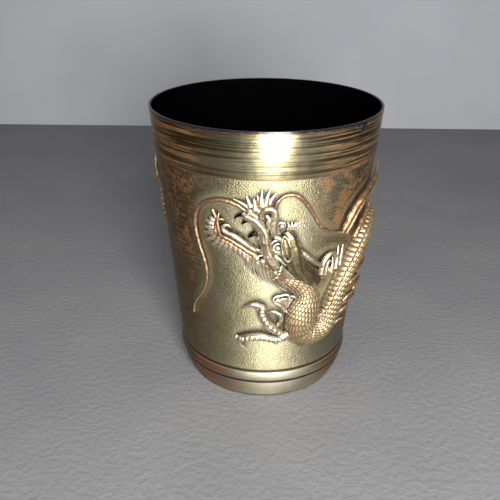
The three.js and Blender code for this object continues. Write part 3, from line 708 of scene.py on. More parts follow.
def ball(u, z, radius, height, squash=1.0):
    """A round boss, squashed towards the wall."""
    deselect()
    bpy.ops.mesh.primitive_uv_sphere_add(segments=20, ring_count=12, radius=radius * MM,
                                         location=(u * MM, -height * MM, z * MM), scale=(1, squash, 1))
    bpy.ops.object.transform_apply(location=True, rotation=True, scale=True)
    return bpy.context.object


def melt(name, parts, node, material, skin, lumps=0.35, smooth=2):
    """Joins strokes and balls into one skin, cuts the back off flat and bends it round the wall.

    The skin's mesh width and its lumps are in millimetres, and smooth is how often it is smoothed.
    """
    deselect()
    for part in parts:
        part.select_set(True)
    bpy.context.view_layer.objects.active = parts[0]
    bpy.ops.object.convert(target="MESH")
    if len(parts) > 1:
        bpy.ops.object.join()
    piece = bpy.context.object
    piece.name = name
    bpy.ops.object.transform_apply(location=True, rotation=True, scale=True)
    apply_modifier(piece, "REMESH", mode="VOXEL", voxel_size=skin * MM)
    apply_modifier(piece, "DISPLACE", texture=wax_lumps, strength=lumps * MM, mid_level=0.5)
    apply_modifier(piece, "SMOOTH", factor=0.5, iterations=smooth)
    bpy.ops.object.mode_set(mode="EDIT")
    bpy.ops.mesh.select_all(action="SELECT")
    bpy.ops.mesh.bisect(plane_co=(0, -back_mm * MM, 0), plane_no=(0, 1, 0), use_fill=True,
                        clear_outer=True)
    bpy.ops.object.mode_set(mode="OBJECT")
    wrap(piece)
    finish(piece, node, material)
    print("%s: %d faces" % (name, len(piece.data.polygons)))


print("bending radius for the layout: %.0f mm" % layout_radius)

# %% [markdown]
# ## The head
# The head is seen from above and the left, with its mouth wide open. A broad strap of metal runs from
# the lip over the muzzle to the cheek, and catches most of the light. Right of it come the nostril's
# arch and the lids of the eye. Each is a few strokes, with the crest of the strap about 4 mm off the
# wall and the thin rims around 2 to 3 mm.

# %% Model the upper head
def loop_stroke(u, z, across, up, radius, height, tilt=0.0, start=0, end=360):
    """A stroke along an oval, or along a part of it given in degrees."""
    points = []
    steps = 14
    lean = math.radians(tilt)
    for i in range(steps + 1):
        turn = math.radians(start + (end - start) * i / steps)
        x, y = across * math.cos(turn), up * math.sin(turn)
        points.append((u + x * math.cos(lean) - y * math.sin(lean),
                       z + x * math.sin(lean) + y * math.cos(lean), radius, height))
    return stroke(points)


melt("upper_head", [
    # The muzzle strap, with a wavy edge
    stroke([(-6.2, 74.4, 0.7, 1.5), (-5.0, 73.5, 1.1, 1.9), (-3.0, 72.5, 1.35, 2.1), (-1.2, 70.3, 1.7, 1.9),
            (-0.1, 67.8, 1.4, 2.2), (0.2, 65.5, 1.9, 1.9), (0.8, 62.6, 1.5, 2.1), (1.4, 60.0, 1.9, 1.9),
            (2.8, 56.7, 2.1, 1.6), (4.4, 54.2, 1.6, 1.3)]),
    ball(-2.2, 70.6, 1.1, 1.7), ball(-1.3, 66.2, 1.0, 1.9), ball(-0.3, 62.0, 0.9, 2.0),
    ball(1.0, 57.4, 1.5, 1.5), ball(1.3, 64.4, 0.9, 2.7), ball(0.4, 68.8, 0.9, 2.7),
    ball(1.9, 60.6, 0.9, 2.6), ball(3.4, 57.6, 1.0, 2.3),
    # Its crest, which catches the light
    stroke([(-5.2, 73.9, 0.4, 2.6), (-3.0, 72.9, 0.6, 2.9), (-1.0, 70.9, 0.8, 3.0), (0.5, 67.8, 0.7, 3.2),
            (0.8, 65.2, 0.8, 3.1), (1.3, 62.4, 0.7, 3.2), (2.1, 59.8, 0.8, 3.0), (3.4, 57.0, 0.9, 2.6)]),
    # The nostril: an arch with a deep hollow under it, and its limb down the nose
    stroke([(-0.7, 73.2, 0.6, 2.4), (-0.5, 75.3, 0.75, 2.7), (0.8, 76.6, 0.95, 2.9), (2.4, 76.2, 1.1, 3.0),
            (3.0, 74.1, 1.15, 2.8), (2.7, 71.6, 1.2, 2.5), (2.7, 69.3, 1.15, 2.3), (3.0, 67.2, 0.9, 2.1)]),
    stroke([(0.6, 74.6, 0.45, 2.6), (1.3, 73.2, 0.5, 2.7), (1.2, 71.6, 0.6, 2.6), (1.6, 69.6, 0.6, 2.4)]),
    # The bulb of the nose, from which the tuft grows
    ball(-3.9, 75.5, 1.1, 1.6), ball(-2.6, 76.2, 1.2, 1.7), ball(-1.4, 75.4, 1.2, 1.8),
    ball(-0.4, 77.1, 1.0, 1.5),
    stroke([(-4.6, 74.8, 0.5, 2.4), (-3.0, 74.6, 0.5, 2.7), (-1.8, 73.6, 0.45, 2.7)]),
    # The eye's lids, brow and cheek
    loop_stroke(4.2, 62.7, 1.35, 1.5, 0.32, 2.2, start=20, end=330),
    loop_stroke(4.2, 62.7, 2.1, 2.6, 0.4, 1.7, tilt=8, start=70, end=300),
    stroke([(3.2, 66.6, 0.6, 2.0), (4.4, 66.2, 0.7, 2.3), (5.4, 65.0, 0.6, 2.4), (5.6, 63.2, 0.45, 2.3)]),
    stroke([(2.6, 71.0, 1.2, 0.4), (3.6, 68.0, 1.7, -0.3), (4.4, 64.0, 2.3, -1.0), (4.4, 60.0, 2.6, -0.9),
            (5.0, 56.6, 2.2, -0.3)]),
    stroke([(3.2, 60.0, 0.5, 2.2), (4.6, 58.9, 0.65, 2.5), (5.8, 57.4, 0.55, 2.4), (7.0, 56.0, 0.3, 2.0)]),
    stroke([(4.4, 60.8, 0.4, 2.0), (5.8, 59.8, 0.45, 2.2), (6.8, 58.4, 0.3, 2.0)]),
    # The corner of the mouth
    stroke([(-0.5, 60.6, 0.5, 1.8), (-1.5, 61.6, 0.5, 1.6), (-2.4, 61.9, 0.4, 1.3)]),
], "dragon_upper_head", relief_gold, skin=0.15, lumps=0.3)

# %% [markdown]
# ## Eye, knobs, ear and horn
# The eye is a ball between its lids. A knob in a ring sits at the corner of the jaw, and another with
# a row of short spikes above the brow. The ear is a leaf with a raised rim and a hollow middle, and
# the near horn sweeps back under it to a point. They are cast apart from the head, and greener where
# the cloth didn't reach.

# %% Model the eye, the knobs, the ear and the near horn
melt("eye", [ball(4.2, 62.7, 0.9, 2.3)], "eye", relief_gold, skin=0.12, lumps=0.05)
melt("jaw_knob", [
    ball(-0.3, 58.0, 1.0, 2.3),
    loop_stroke(-0.4, 58.2, 1.7, 1.8, 0.42, 2.1, start=-50, end=235),
], "jaw_knob", relief_gold, skin=0.13)
melt("brow_knob", [
    ball(5.2, 70.2, 0.75, 1.5), loop_stroke(5.2, 70.2, 1.05, 1.05, 0.3, 1.0),
    *[stroke([(u, 68.4, 0.45, 0.9), (u + 0.3, 70.0, 0.34, 1.1), (u + lean, 71.2, 0.12, 0.8)])
      for u, lean in ((7.0, 0.0), (7.9, 0.4), (8.7, 1.0), (9.4, 1.6))],
], "brow_knob", relief_gold, skin=0.13, smooth=1, lumps=0.12)

melt("ear", [
    stroke([(5.6, 67.0, 0.4, 2.8), (5.1, 65.0, 0.4, 3.2), (5.3, 62.2, 0.4, 3.5), (5.8, 60.0, 0.45, 3.7),
            (7.0, 58.4, 0.5, 3.8), (7.9, 59.4, 0.4, 4.0), (8.0, 61.8, 0.4, 4.1), (7.4, 64.2, 0.4, 3.9),
            (6.7, 66.2, 0.4, 3.3), (5.6, 67.2, 0.4, 2.8)]),
    stroke([(6.0, 66.0, 0.8, 2.1), (6.3, 63.6, 1.2, 2.4), (6.9, 60.9, 1.3, 2.6), (7.1, 59.7, 0.9, 2.7)]),
], "ear", relief_olive, skin=0.14)
melt("horn_near", [
    stroke([(6.6, 68.2, 1.0, 1.2), (7.8, 66.0, 2.0, 1.6), (8.7, 62.2, 2.6, 1.9), (9.4, 58.4, 2.5, 2.1),
            (10.5, 54.6, 1.9, 2.4), (12.7, 50.9, 1.3, 2.5), (15.5, 47.6, 0.95, 2.4),
            (18.0, 45.4, 0.35, 2.1)]),
    stroke([(7.6, 57.4, 0.8, 2.4), (8.4, 55.0, 1.0, 2.5), (9.9, 52.2, 0.85, 2.5), (12.0, 49.4, 0.55, 2.3)]),
    stroke([(9.6, 66.2, 0.4, 2.6), (11.0, 62.4, 0.5, 3.0), (11.4, 58.4, 0.5, 3.2), (12.0, 54.4, 0.4, 3.2)]),
], "horn_near", relief_olive, skin=0.16)

# %% [markdown]
# ## Fangs, jaw, tongue and beard
# The lower jaw hangs open like a scoop. Its edge is a double cord that turns up into the chin, and
# the beard fans out below it in short flat locks. The tongue lies in it and curls at its tip.

# %% Model the jaws
fang_paths = (
    [(-5.0, 73.9, 0.75, 1.4), (-6.6, 73.9, 0.65, 1.6), (-7.9, 73.4, 0.5, 1.6), (-8.8, 72.3, 0.2, 1.4)],
    [(-4.4, 72.2, 0.7, 1.3), (-5.4, 71.8, 0.55, 1.5), (-6.2, 71.2, 0.45, 1.5), (-6.6, 70.3, 0.15, 1.3)],
    [(-2.4, 67.8, 0.85, 1.3), (-3.4, 67.2, 0.85, 1.5), (-4.2, 66.6, 0.6, 1.5), (-4.8, 65.9, 0.25, 1.2)],
)
# The fangs are painted near black, as painted shade under the upper lip
for number, path in enumerate(fang_paths, 1):
    melt("fang_%d" % number, [stroke(path)], "upper_fang_%d" % number, relief_painted_shade, skin=0.12)

jaw_line = [(-1.6, 58.6), (-3.2, 60.0), (-5.2, 61.3), (-8.4, 63.4), (-11.4, 64.9), (-13.8, 65.6),
            (-14.9, 66.8), (-14.8, 68.8), (-14.5, 70.6), (-15.0, 72.4), (-15.7, 74.4)]
melt("lower_jaw", [
    stroke([(u, z, 0.8 if i < 7 else 0.55, 1.7 - 0.05 * i) for i, (u, z) in enumerate(jaw_line)]),
    stroke([(u - 0.5, z - 1.35, 0.75 if i else 0.4, 1.3) for i, (u, z) in enumerate(jaw_line[:6])]),
    # The tusk of the lower jaw
    stroke([(-13.6, 66.0, 0.6, 1.7), (-13.8, 68.4, 0.5, 1.9), (-14.0, 70.6, 0.4, 1.9),
            (-13.7, 72.4, 0.35, 1.8), (-13.3, 74.0, 0.12, 1.5)]),
    stroke([(-13.7, 71.0, 0.3, 1.4), (-12.8, 71.4, 0.3, 1.3), (-12.2, 71.0, 0.2, 1.1)]),
    # The floor of the mouth
    stroke([(-12.8, 66.6, 0.9, 0.2), (-9.0, 64.8, 1.3, 0.2), (-5.0, 62.8, 1.2, 0.2), (-2.0, 60.6, 0.8, 0.2)]),
], "dragon_lower_jaw", relief_copper, skin=0.15)
melt("tongue", [
    stroke([(-2.6, 61.2, 0.5, 0.9), (-4.8, 62.9, 0.75, 1.3), (-6.8, 64.7, 0.85, 1.6), (-9.0, 66.3, 0.85, 1.9),
            (-11.2, 67.3, 0.8, 2.0), (-12.2, 68.4, 0.6, 2.1), (-11.7, 69.7, 0.5, 2.2),
            (-10.5, 70.0, 0.45, 2.2), (-9.8, 69.2, 0.35, 2.0)]),
    stroke([(-11.4, 66.4, 0.35, 1.0), (-12.6, 67.2, 0.35, 1.1), (-13.0, 68.4, 0.3, 1.2)]),
], "tongue", relief_gold, skin=0.13)

beard_locks = (
    (-15.2, 70.4, -16.9, 71.6), (-15.4, 69.2, -18.6, 70.1), (-15.5, 68.0, -19.2, 67.6),
    (-15.3, 66.8, -20.2, 65.1), (-14.9, 65.9, -19.2, 62.2), (-13.8, 65.0, -17.1, 60.9),
    (-12.4, 64.4, -14.7, 60.6), (-11.2, 63.9, -12.9, 60.2), (-9.9, 63.4, -10.9, 59.9),
    (-8.6, 62.7, -9.1, 59.5), (-7.2, 61.8, -7.5, 58.7), (-6.0, 60.9, -6.1, 57.0),
    (-4.9, 60.2, -5.4, 54.8),
)
melt("beard", [
    stroke([(u, z, 0.75, 1.2), (u + 0.4 * (tip_u - u), z + 0.45 * (tip_z - z) - 0.15, 0.85, 1.35),
            (u + 0.8 * (tip_u - u), z + 0.8 * (tip_z - z), 0.55, 1.1), (tip_u, tip_z, 0.15, 0.7)])
    for u, z, tip_u, tip_z in beard_locks
], "beard", relief_gold, skin=0.13, smooth=1, lumps=0.12)

# %% [markdown]
# ## The tuft and the whiskers
# Everything that streams from the head is a tapered lock: wide where it leaves the skin, thin at its
# tip, and bent on its way. The nose carries a tuft of seven. The two whiskers are single long wires, 1.2 mm
# thick at the root and half that at the tip, and they run far out over the wall.

# %% Model the tuft and the whiskers
def lock(points, radius, height, tip=0.14):
    """A tapered lock of hair or flame through two, three or more (u, z) points."""
    count = len(points) - 1
    return stroke([(u, z, radius * (1 - i / count) ** 0.7 + tip, height * (1 - 0.35 * i / count))
                   for i, (u, z) in enumerate(points)])


melt("nose_tuft", [
    lock([(-4.4, 76.2), (-6.8, 77.7), (-9.2, 78.7)], 0.6, 1.2),
    lock([(-3.9, 76.6), (-4.5, 78.2), (-5.2, 80.2)], 0.75, 1.3),
    lock([(-2.7, 76.8), (-2.8, 78.0), (-3.0, 79.4)], 0.7, 1.3),
    lock([(-1.5, 77.2), (-1.7, 78.9), (-2.1, 80.6)], 0.7, 1.4),
    lock([(-0.8, 77.2), (-0.9, 79.4), (-0.7, 82.4)], 0.9, 1.6),
    lock([(0.4, 77.2), (0.7, 79.8), (1.6, 82.6)], 0.9, 1.6),
    lock([(1.2, 77.0), (1.9, 79.2), (3.3, 81.2)], 0.7, 1.4),
    stroke([(-4.2, 76.2, 0.9, 0.7), (-1.8, 77.2, 1.2, 0.9), (1.4, 77.2, 0.9, 0.9)]),
], "nose_tuft", relief_gold, skin=0.13, smooth=1, lumps=0.12)

whisker_radius = 0.62
left_whisker_line = [(-4.6, 74.4), (-6.4, 75.8), (-8.4, 77.0), (-12.0, 77.8), (-16.0, 77.1), (-19.5, 75.1),
                     (-21.9, 72.0), (-22.9, 68.0), (-22.7, 64.0), (-22.0, 60.0), (-20.8, 56.0),
                     (-20.0, 51.5), (-20.3, 47.0), (-22.0, 42.4), (-25.0, 38.2), (-27.5, 34.8),
                     (-28.7, 30.8)]
right_whisker_line = [(2.9, 75.4), (3.7, 78.0), (5.5, 79.9), (7.6, 80.5), (9.8, 79.8), (12.2, 77.3),
                      (14.6, 73.8), (16.9, 70.0), (19.2, 66.9), (21.4, 65.5), (24.2, 64.5), (27.4, 63.5),
                      (31.0, 61.9)]
for name, line in (("whisker_left", left_whisker_line), ("whisker_right", right_whisker_line)):
    last = len(line) - 1
    melt(name, [stroke([(u, z, whisker_radius * (1 - 0.5 * (i / last) ** 2), 0.85)
                        for i, (u, z) in enumerate(line)])], name, relief_copper, skin=0.14)

# %% [markdown]
# ## Hair, far horn and mane
# Thin strands hang under the jaw in two layers, and longer ones stream right from the cheek. Past the
# horns comes the mane, six locks over a low swell, and behind it a few curls that stand up. Laid out
# one by one they keep the uneven rhythm that the caster gave them.

# %% Model the hair, the far horn and the mane
under_jaw = (
    ((-4.6, 59.6), (-5.2, 56.4), (-4.7, 53.4)), ((-3.8, 58.6), (-4.2, 55.4), (-3.2, 52.2)),
    ((-3.0, 57.6), (-3.2, 54.2), (-1.9, 50.6)), ((-2.0, 56.8), (-1.8, 53.2), (-0.4, 49.0)),
    ((-1.0, 56.0), (-0.6, 52.6), (1.2, 49.0)), ((0.2, 55.2), (0.8, 51.8), (2.8, 48.0)),
    ((1.4, 54.4), (2.2, 51.0), (4.4, 47.2)),
)
melt("cheek_hair", [
    *[lock(path, 0.6, 1.3) for path in under_jaw],
    *[lock([(u + 1.9, z + 0.5 - 0.2 * i) for i, (u, z) in enumerate(path)], 0.5, 2.1) for path in under_jaw],
    ball(0.6, 55.4, 1.6, 0.9, 0.7), ball(2.2, 53.6, 1.6, 1.1, 0.7),
], "cheek_hair", relief_gold, skin=0.12, smooth=1, lumps=0.1)
melt("jaw_ribbons", [
    lock([(5.0, 56.3), (6.8, 54.2), (9.4, 51.4), (12.4, 48.6)], 0.6, 3.0),
    lock([(4.6, 55.2), (6.4, 52.8), (8.8, 50.4), (11.6, 48.0)], 0.75, 3.1),
    lock([(4.4, 54.0), (5.8, 51.8), (7.8, 49.6), (10.2, 47.8)], 0.85, 3.0),
    lock([(3.8, 52.6), (5.2, 50.2), (7.0, 48.2), (9.0, 46.8)], 0.8, 2.8),
    lock([(3.2, 51.6), (4.2, 49.4), (5.8, 47.4), (7.6, 46.0)], 0.7, 2.4),
    ball(3.8, 53.6, 1.4, 2.0, 0.8),
], "jaw_ribbons", relief_gold, skin=0.13, smooth=1, lumps=0.12)
melt("horn_far", [
    stroke([(11.2, 60.8, 0.9, 1.4), (13.6, 58.6, 1.0, 1.9), (16.4, 55.9, 0.95, 2.1), (18.8, 53.8, 0.7, 2.1),
            (21.0, 52.0, 0.3, 1.8)]),
], "horn_far", relief_gold, skin=0.14)
melt("mane", [
    *[lock([(11.6 + 0.3 * i, 58.2 - 1.7 * i), (14.2 + 0.25 * i, 55.4 - 1.6 * i),
            (17.4 + 0.15 * i, 52.4 - 1.5 * i), (22.4 - 0.5 * i, 49.6 - 1.2 * i)], 0.5, 2.0 - 0.4 * (i % 2))
      for i in range(6)],
    stroke([(12.4, 55.4, 1.2, 0.1), (15.4, 52.0, 2.0, 0.0), (18.4, 48.6, 2.0, 0.0), (19.6, 46.4, 1.4, 0.0)]),
], "mane", relief_shade, skin=0.13, smooth=1, lumps=0.12)
melt("mane_curls", [
    lock([(19.6, 50.4), (19.9, 53.6), (21.2, 56.2), (23.4, 57.2), (25.2, 55.8), (25.6, 53.0)], 0.75, 1.8,
         0.4),
    lock([(21.6, 49.6), (21.7, 52.2), (22.8, 54.2), (24.0, 53.6)], 0.6, 1.5, 0.3),
    lock([(25.6, 50.8), (26.0, 54.6), (26.2, 59.2)], 0.8, 1.8),
    lock([(27.4, 51.6), (28.0, 55.2), (28.5, 58.9)], 0.7, 1.7),
    lock([(24.0, 49.8), (24.4, 52.6), (24.4, 55.4)], 0.6, 1.5),
    stroke([(21.0, 49.4, 0.9, 0.4), (23.6, 50.4, 1.2, 0.4), (26.4, 51.6, 0.8, 0.4)]),
], "mane_curls", relief_gold, skin=0.13, smooth=1, lumps=0.12)

# %% [markdown]
# ## The scaled body
# The body is one long snake, cut where the measured model cuts it. It is a half-round skin over a
# path, and the scales are in the skin itself: each is a small round tile whose free edge points to the
# tail and lies over the two tiles behind it. Tools can't lay hundreds of tiles on a tapering, bending
# skin so that they overlap by rule, so the skin is worked out point by point. A point asks which
# tiles cover it, takes the one nearest the head, and is raised by that tile's thickness there. On one
# side, a belly of cross ribs takes the tiles' place.

# %% Work out the scales
scale_pitch = 1.75  # along the body
scale_across = 2.0
scale_radius = 1.35
rib_pitch = 1.75


def smooth_path(stations, pitch_mm):
    """Samples of (u, z, width, height) at an even pitch along a curve through the stations."""
    given = np.array(stations, dtype=float)
    padded = np.vstack((2 * given[0] - given[1], given, 2 * given[-1] - given[-2]))
    share = np.linspace(0, 1, 24, endpoint=False)[:, None]
    rows = []
    for i in range(1, len(padded) - 2):
        before, here, after, beyond = padded[i - 1:i + 3]
        rows.append(0.5 * (2 * here + (after - before) * share
                           + (2 * before - 5 * here + 4 * after - beyond) * share ** 2
                           + (3 * here - before - 3 * after + beyond) * share ** 3))
    dense = np.vstack((*rows, given[-1:]))
    steps = np.hypot(*np.diff(dense[:, :2], axis=0).T)
    along = np.concatenate(([0], np.cumsum(steps)))
    even = np.arange(0, along[-1], pitch_mm)
    return even, np.column_stack([np.interp(even, along, dense[:, k]) for k in range(4)])


def tile_height(s, a):
    """How thick the topmost tile is, from 0 to 1, at s along the body and a across it."""
    best = np.zeros_like(s)
    covered = np.zeros(s.shape, dtype=bool)
    for nearby in (-2, -1, 0, 1):
        row = np.floor(s / scale_pitch) + nearby
        shift = np.mod(row, 2) * 0.5
        for side in (0, 1):
            column = np.floor(a / scale_across - shift) + side
            ds = (s - row * scale_pitch) / scale_radius
            da = (a - (column + shift) * scale_across) / scale_radius
            away = np.hypot(ds * 0.92, da)
            inside = (away < 1) & ~covered
            # A tile thickens towards its free edge, is domed across, and rounds off at its rim
            lift = 0.2 + 0.8 * (ds + 1) / 2 - 0.25 * da ** 2
            edge = np.clip((1 - away) / 0.35, 0, 1)
            best = np.where(inside, lift * (0.3 + 0.7 * np.sqrt(edge)), best)
            covered |= inside
    return best


def skin_pattern(s, side, girth, belly):
    """Tiles, or cross ribs past the edge that the belly's plan sets, with a groove between them."""
    pattern = tile_height(s, girth)
    if belly:
        # Side runs from -1 to 1 over the body, so a plan of 0.25 or less leaves the ribs out
        edge_of_ribs = 1.25 - np.interp(s[:, 0], *belly)[:, None]
        past_edge = (side - edge_of_ribs) / 0.05
        blend = np.clip(past_edge, 0, 1)
        ribs = 0.15 + 0.85 * np.abs(np.sin(np.pi * (s + 1.1 * side) / rib_pitch)) ** 0.45
        pattern = (pattern * (1 - blend) + ribs * blend) * (1 - 0.5 * np.exp(-past_edge ** 2))
    return pattern


print("scales %.2f mm apart along the body" % scale_pitch)

# %% [markdown]
# ## From the pattern to a skin
# A length of body is a row of half-round rings. Its round ends close by narrowing the rings, its back
# lies flat inside the wall, and the pattern sinks each point along the skin's own slope. The rings are
# joined into one closed mesh, which carries the depth of the cuts for the finish.

# %% Build a scaled skin
inside_mm = 0.45  # the skin's back lies this far inside the wall


def rounded_off(s, round_start, round_end):
    """1 along the body, falling to nearly 0 over the two given lengths at its ends."""
    closing = np.ones_like(s)
    for length, away in ((round_start, s - s[0]), (round_end, s[-1] - s)):
        if length:
            closing *= np.sqrt(np.clip(1 - (1 - np.clip(away / length, 0, 1)) ** 2, 0.02, 1))
    return closing


def ring_mesh(name, rings, cuts):
    """A closed mesh from rings of points in millimetres, with how deep each lies in a cut."""
    index = np.arange(cuts.size).reshape(cuts.shape)
    after = np.roll(index, -1, axis=1)
    quads = np.stack((index[:-1], index[1:], after[1:], after[:-1]), axis=2).reshape(-1, 4)
    faces = quads.tolist() + [index[0].tolist(), index[-1][::-1].tolist()]
    mesh = bpy.data.meshes.new(name)
    mesh.from_pydata((rings.reshape(-1, 3) * MM).tolist(), [], faces)
    mesh.attributes.new("cut", "FLOAT", "POINT").data.foreach_set("value", cuts.ravel())
    piece = bpy.data.objects.new(name, mesh)
    bpy.context.collection.objects.link(piece)
    return piece


def scaled_skin(name, path, first, last, node, across, depth=0.5, belly=None, round_start=0.0,
                round_end=0.0):
    """A length of body from first to last, in millimetres along the path."""
    along, samples = path
    keep = (along >= first) & (along <= last)
    s = along[keep]
    u, z, width, height = samples[keep].T
    heading = np.unwrap(np.arctan2(np.gradient(z), np.gradient(u)))
    bend = np.gradient(heading, s)
    closing = rounded_off(s, round_start, round_end)
    half = width / 2 * (0.35 + 0.65 * closing)
    rise = height * closing
    u, z, heading, bend, closing, half, rise = (
        values[:, None] for values in (u, z, heading, bend, closing, half, rise))
    turn = np.linspace(0, math.pi, across)[None, :]
    side = -np.cos(turn)
    girth = (turn - math.pi / 2) * ((half + rise) * 0.8)
    pattern = skin_pattern(np.repeat(s[:, None], across, 1), side, girth, belly)
    sink = depth * (1 - pattern) * closing
    # On the inside of a tight bend the skin stops short of the centre of the bend
    room = 0.92 / np.maximum(np.abs(bend), 1e-3)
    reach = np.where(side * bend > 0, np.minimum(half, room), half)
    slope_side = side * rise
    slope_up = np.sin(turn) * half
    slope = np.hypot(slope_side, slope_up) + 1e-6
    offset = side * reach - sink * slope_side / slope
    lift = np.maximum(np.sin(turn) ** 0.85 * rise - sink * slope_up / slope, back_mm)
    flat_u = u - np.sin(heading) * offset
    flat_z = z + np.cos(heading) * offset
    rings = np.full((len(s), across + 2, 3), inside_mm)
    rings[:, :across] = np.stack((flat_u, -lift, flat_z), axis=2)
    rings[:, across:, 0] = flat_u[:, [-1, 0]]
    rings[:, across:, 2] = flat_z[:, [-1, 0]]
    cuts = np.zeros((len(s), across + 2))
    # How deep each point lies in a cut between scales; the finish paints it dark, as patina and as painted
    # shade
    cuts[:, :across] = np.clip((0.54 - pattern) / 0.3, 0, 1)
    piece = ring_mesh(name, rings, cuts)
    wrap(piece)
    select_only(piece)
    bpy.ops.object.mode_set(mode="EDIT")
    bpy.ops.mesh.select_all(action="SELECT")
    bpy.ops.mesh.normals_make_consistent(inside=False)
    bpy.ops.object.mode_set(mode="OBJECT")
    finish(piece, node, relief_scales)
    print("%s: %.0f mm long, %d faces" % (name, s[-1] - s[0], len(piece.data.polygons)))


def reached(path, u, z):
    """How far along a path its point nearest to (u, z) is."""
    along, samples = path
    return along[np.argmin(np.hypot(samples[:, 0] - u, samples[:, 1] - z))]


print("a skin's back lies %.2f mm inside the wall" % inside_mm)

# %% [markdown]
# ## The body round the cup
# The snake starts under the cheek as a thin throat, swells into the coil in front, and rises to the
# right. Behind the cup it waves round to the left side, where the tail turns up. Its stations are
# chosen along the photograph's body in front, and given one by one behind, where nothing is seen. The
# castings meet end to end, so each starts a little before the last one stops.

# %% Lay the body
overlap = 0.3
front_path = smooth_path([
    (2.6, 54.4, 2.6, 2.4), (5.0, 52.2, 4.2, 3.0), (7.6, 50.2, 5.6, 3.3), (10.2, 48.6, 6.8, 3.6),
    (12.6, 46.9, 7.8, 3.9), (14.6, 44.5, 9.0, 4.4), (15.3, 41.6, 10.4, 4.9), (14.9, 38.9, 11.6, 5.4),
    (14.2, 36.0, 12.3, 5.6), (13.4, 32.8, 12.2, 5.7), (13.9, 29.4, 12.0, 5.7), (15.6, 27.5, 11.6, 5.6),
    (17.8, 27.0, 10.6, 5.5), (20.4, 27.2, 10.0, 5.3), (22.7, 28.4, 9.8, 5.2), (24.8, 31.0, 9.6, 5.0),
    (26.4, 35.0, 9.0, 4.9), (28.3, 40.4, 8.0, 4.8), (31.2, 46.2, 7.6, 4.8), (34.8, 50.8, 7.8, 4.8),
    (38.9, 55.0, 8.0, 4.7), (43.6, 58.6, 8.2, 4.6), (49.4, 60.6, 8.4, 4.3), (55.0, 60.6, 8.4, 4.0),
    (59.4, 59.6, 8.4, 3.9),
], 0.14)
front_length = front_path[0][-1]
coil_start = reached(front_path, 12.6, 46.9)
coil_end = reached(front_path, 25.4, 32.4)
# Lengths along the body, and how far the ribs reach over it there: not at all on the coil, a quarter
# of the way on the rising limb
belly_plan = ((0, coil_end - 6, coil_end + 4, front_length), (0.2, 0.2, 0.52, 0.52))
for name, node, first, last, depth, across in (
        ("throat", "throat", 0, coil_start, 0.55, 90),
        ("front_coil", "dragon_front_coil", coil_start - overlap, coil_end, 0.62, 130),
        ("rising_body", "dragon_rising_body", coil_end - overlap, front_length, 0.55, 96)):
    scaled_skin(name, front_path, first, last, node, across, depth, belly_plan)

back_path = smooth_path([
    (59.0, 59.8, 8.4, 3.9), (62.6, 57.8, 8.4, 3.8), (68.0, 52.6, 8.6, 3.9), (72.6, 46.0, 8.6, 4.2),
    (77.4, 40.0, 8.6, 4.5), (83.6, 36.2, 8.4, 4.6), (90.4, 35.2, 8.2, 4.6), (97.4, 38.4, 8.0, 4.6),
    (102.4, 45.4, 7.8, 4.5), (105.4, 53.0, 7.6, 4.4), (109.4, 60.4, 7.4, 4.4), (115.6, 66.2, 7.0, 4.3),
    (124.4, 68.4, 6.6, 4.1), (133.0, 65.6, 6.2, 3.8), (139.4, 59.0, 5.8, 3.4), (144.8, 51.8, 5.4, 3.0),
    (151.8, 47.2, 5.0, 2.8), (157.4, 46.8, 4.8, 2.6), (162.6, 49.8, 4.6, 2.4), (166.0, 55.2, 4.4, 2.3),
    (167.0, 61.6, 4.0, 2.2), (166.8, 68.0, 3.0, 2.0), (166.8, 70.0, 2.4, 1.8),
], 0.2)
back_length = back_path[0][-1]
back_cut = reached(back_path, 103.9, 49.2)
rear_cut = reached(back_path, 154.6, 46.6)
scaled_skin("back_body", back_path, 0, back_cut, "dragon_back_body", 64,
            belly=((0, 30, 120), (0.6, 0.85, 0.85)))
scaled_skin("rear_body", back_path, back_cut - overlap, rear_cut, "dragon_rear_body", 56, 0.42)
scaled_skin("tail", back_path, rear_cut - overlap, back_length, "dragon_tail", 44, 0.55,
            belly=((0, back_length), (1.6, 1.6)), round_end=1.2)

# %% [markdown]
# ## The near forefoot
# The near forefoot is spread on the wall below the jaw: two long toes with hooked claws, and a short
# thumb. The toes are strokes, with cords laid across them that make their joints look ribbed. Above
# the paw lies a smooth cloud, a flat leaf of two lobes on one stem: the left one full, the right one
# hollow.

# %% Model the near forefoot
def ringed(points, rings, ring_radius, standing):
    """Cords laid across a toe, which make its joints look ribbed."""
    cords = []
    given = np.array(points)
    for i in range(rings):
        place = (i + 0.5) / rings * (len(given) - 1)
        k = int(place)
        here = given[k] + (given[k + 1] - given[k]) * (place - k)
        ahead = given[k + 1][:2] - given[k][:2]
        ahead = ahead / np.hypot(*ahead)
        reach = here[2] * 0.9
        across = np.array((-ahead[1], ahead[0])) * reach
        cords.append(stroke([
            (here[0] - across[0], here[1] - across[1], ring_radius * 0.7, here[3] * 0.75),
            (here[0] + ahead[0] * 0.3, here[1] + ahead[1] * 0.3, ring_radius, here[3] + here[2] * standing),
            (here[0] + across[0], here[1] + across[1], ring_radius * 0.7, here[3] * 0.75),
        ]))
    return cords


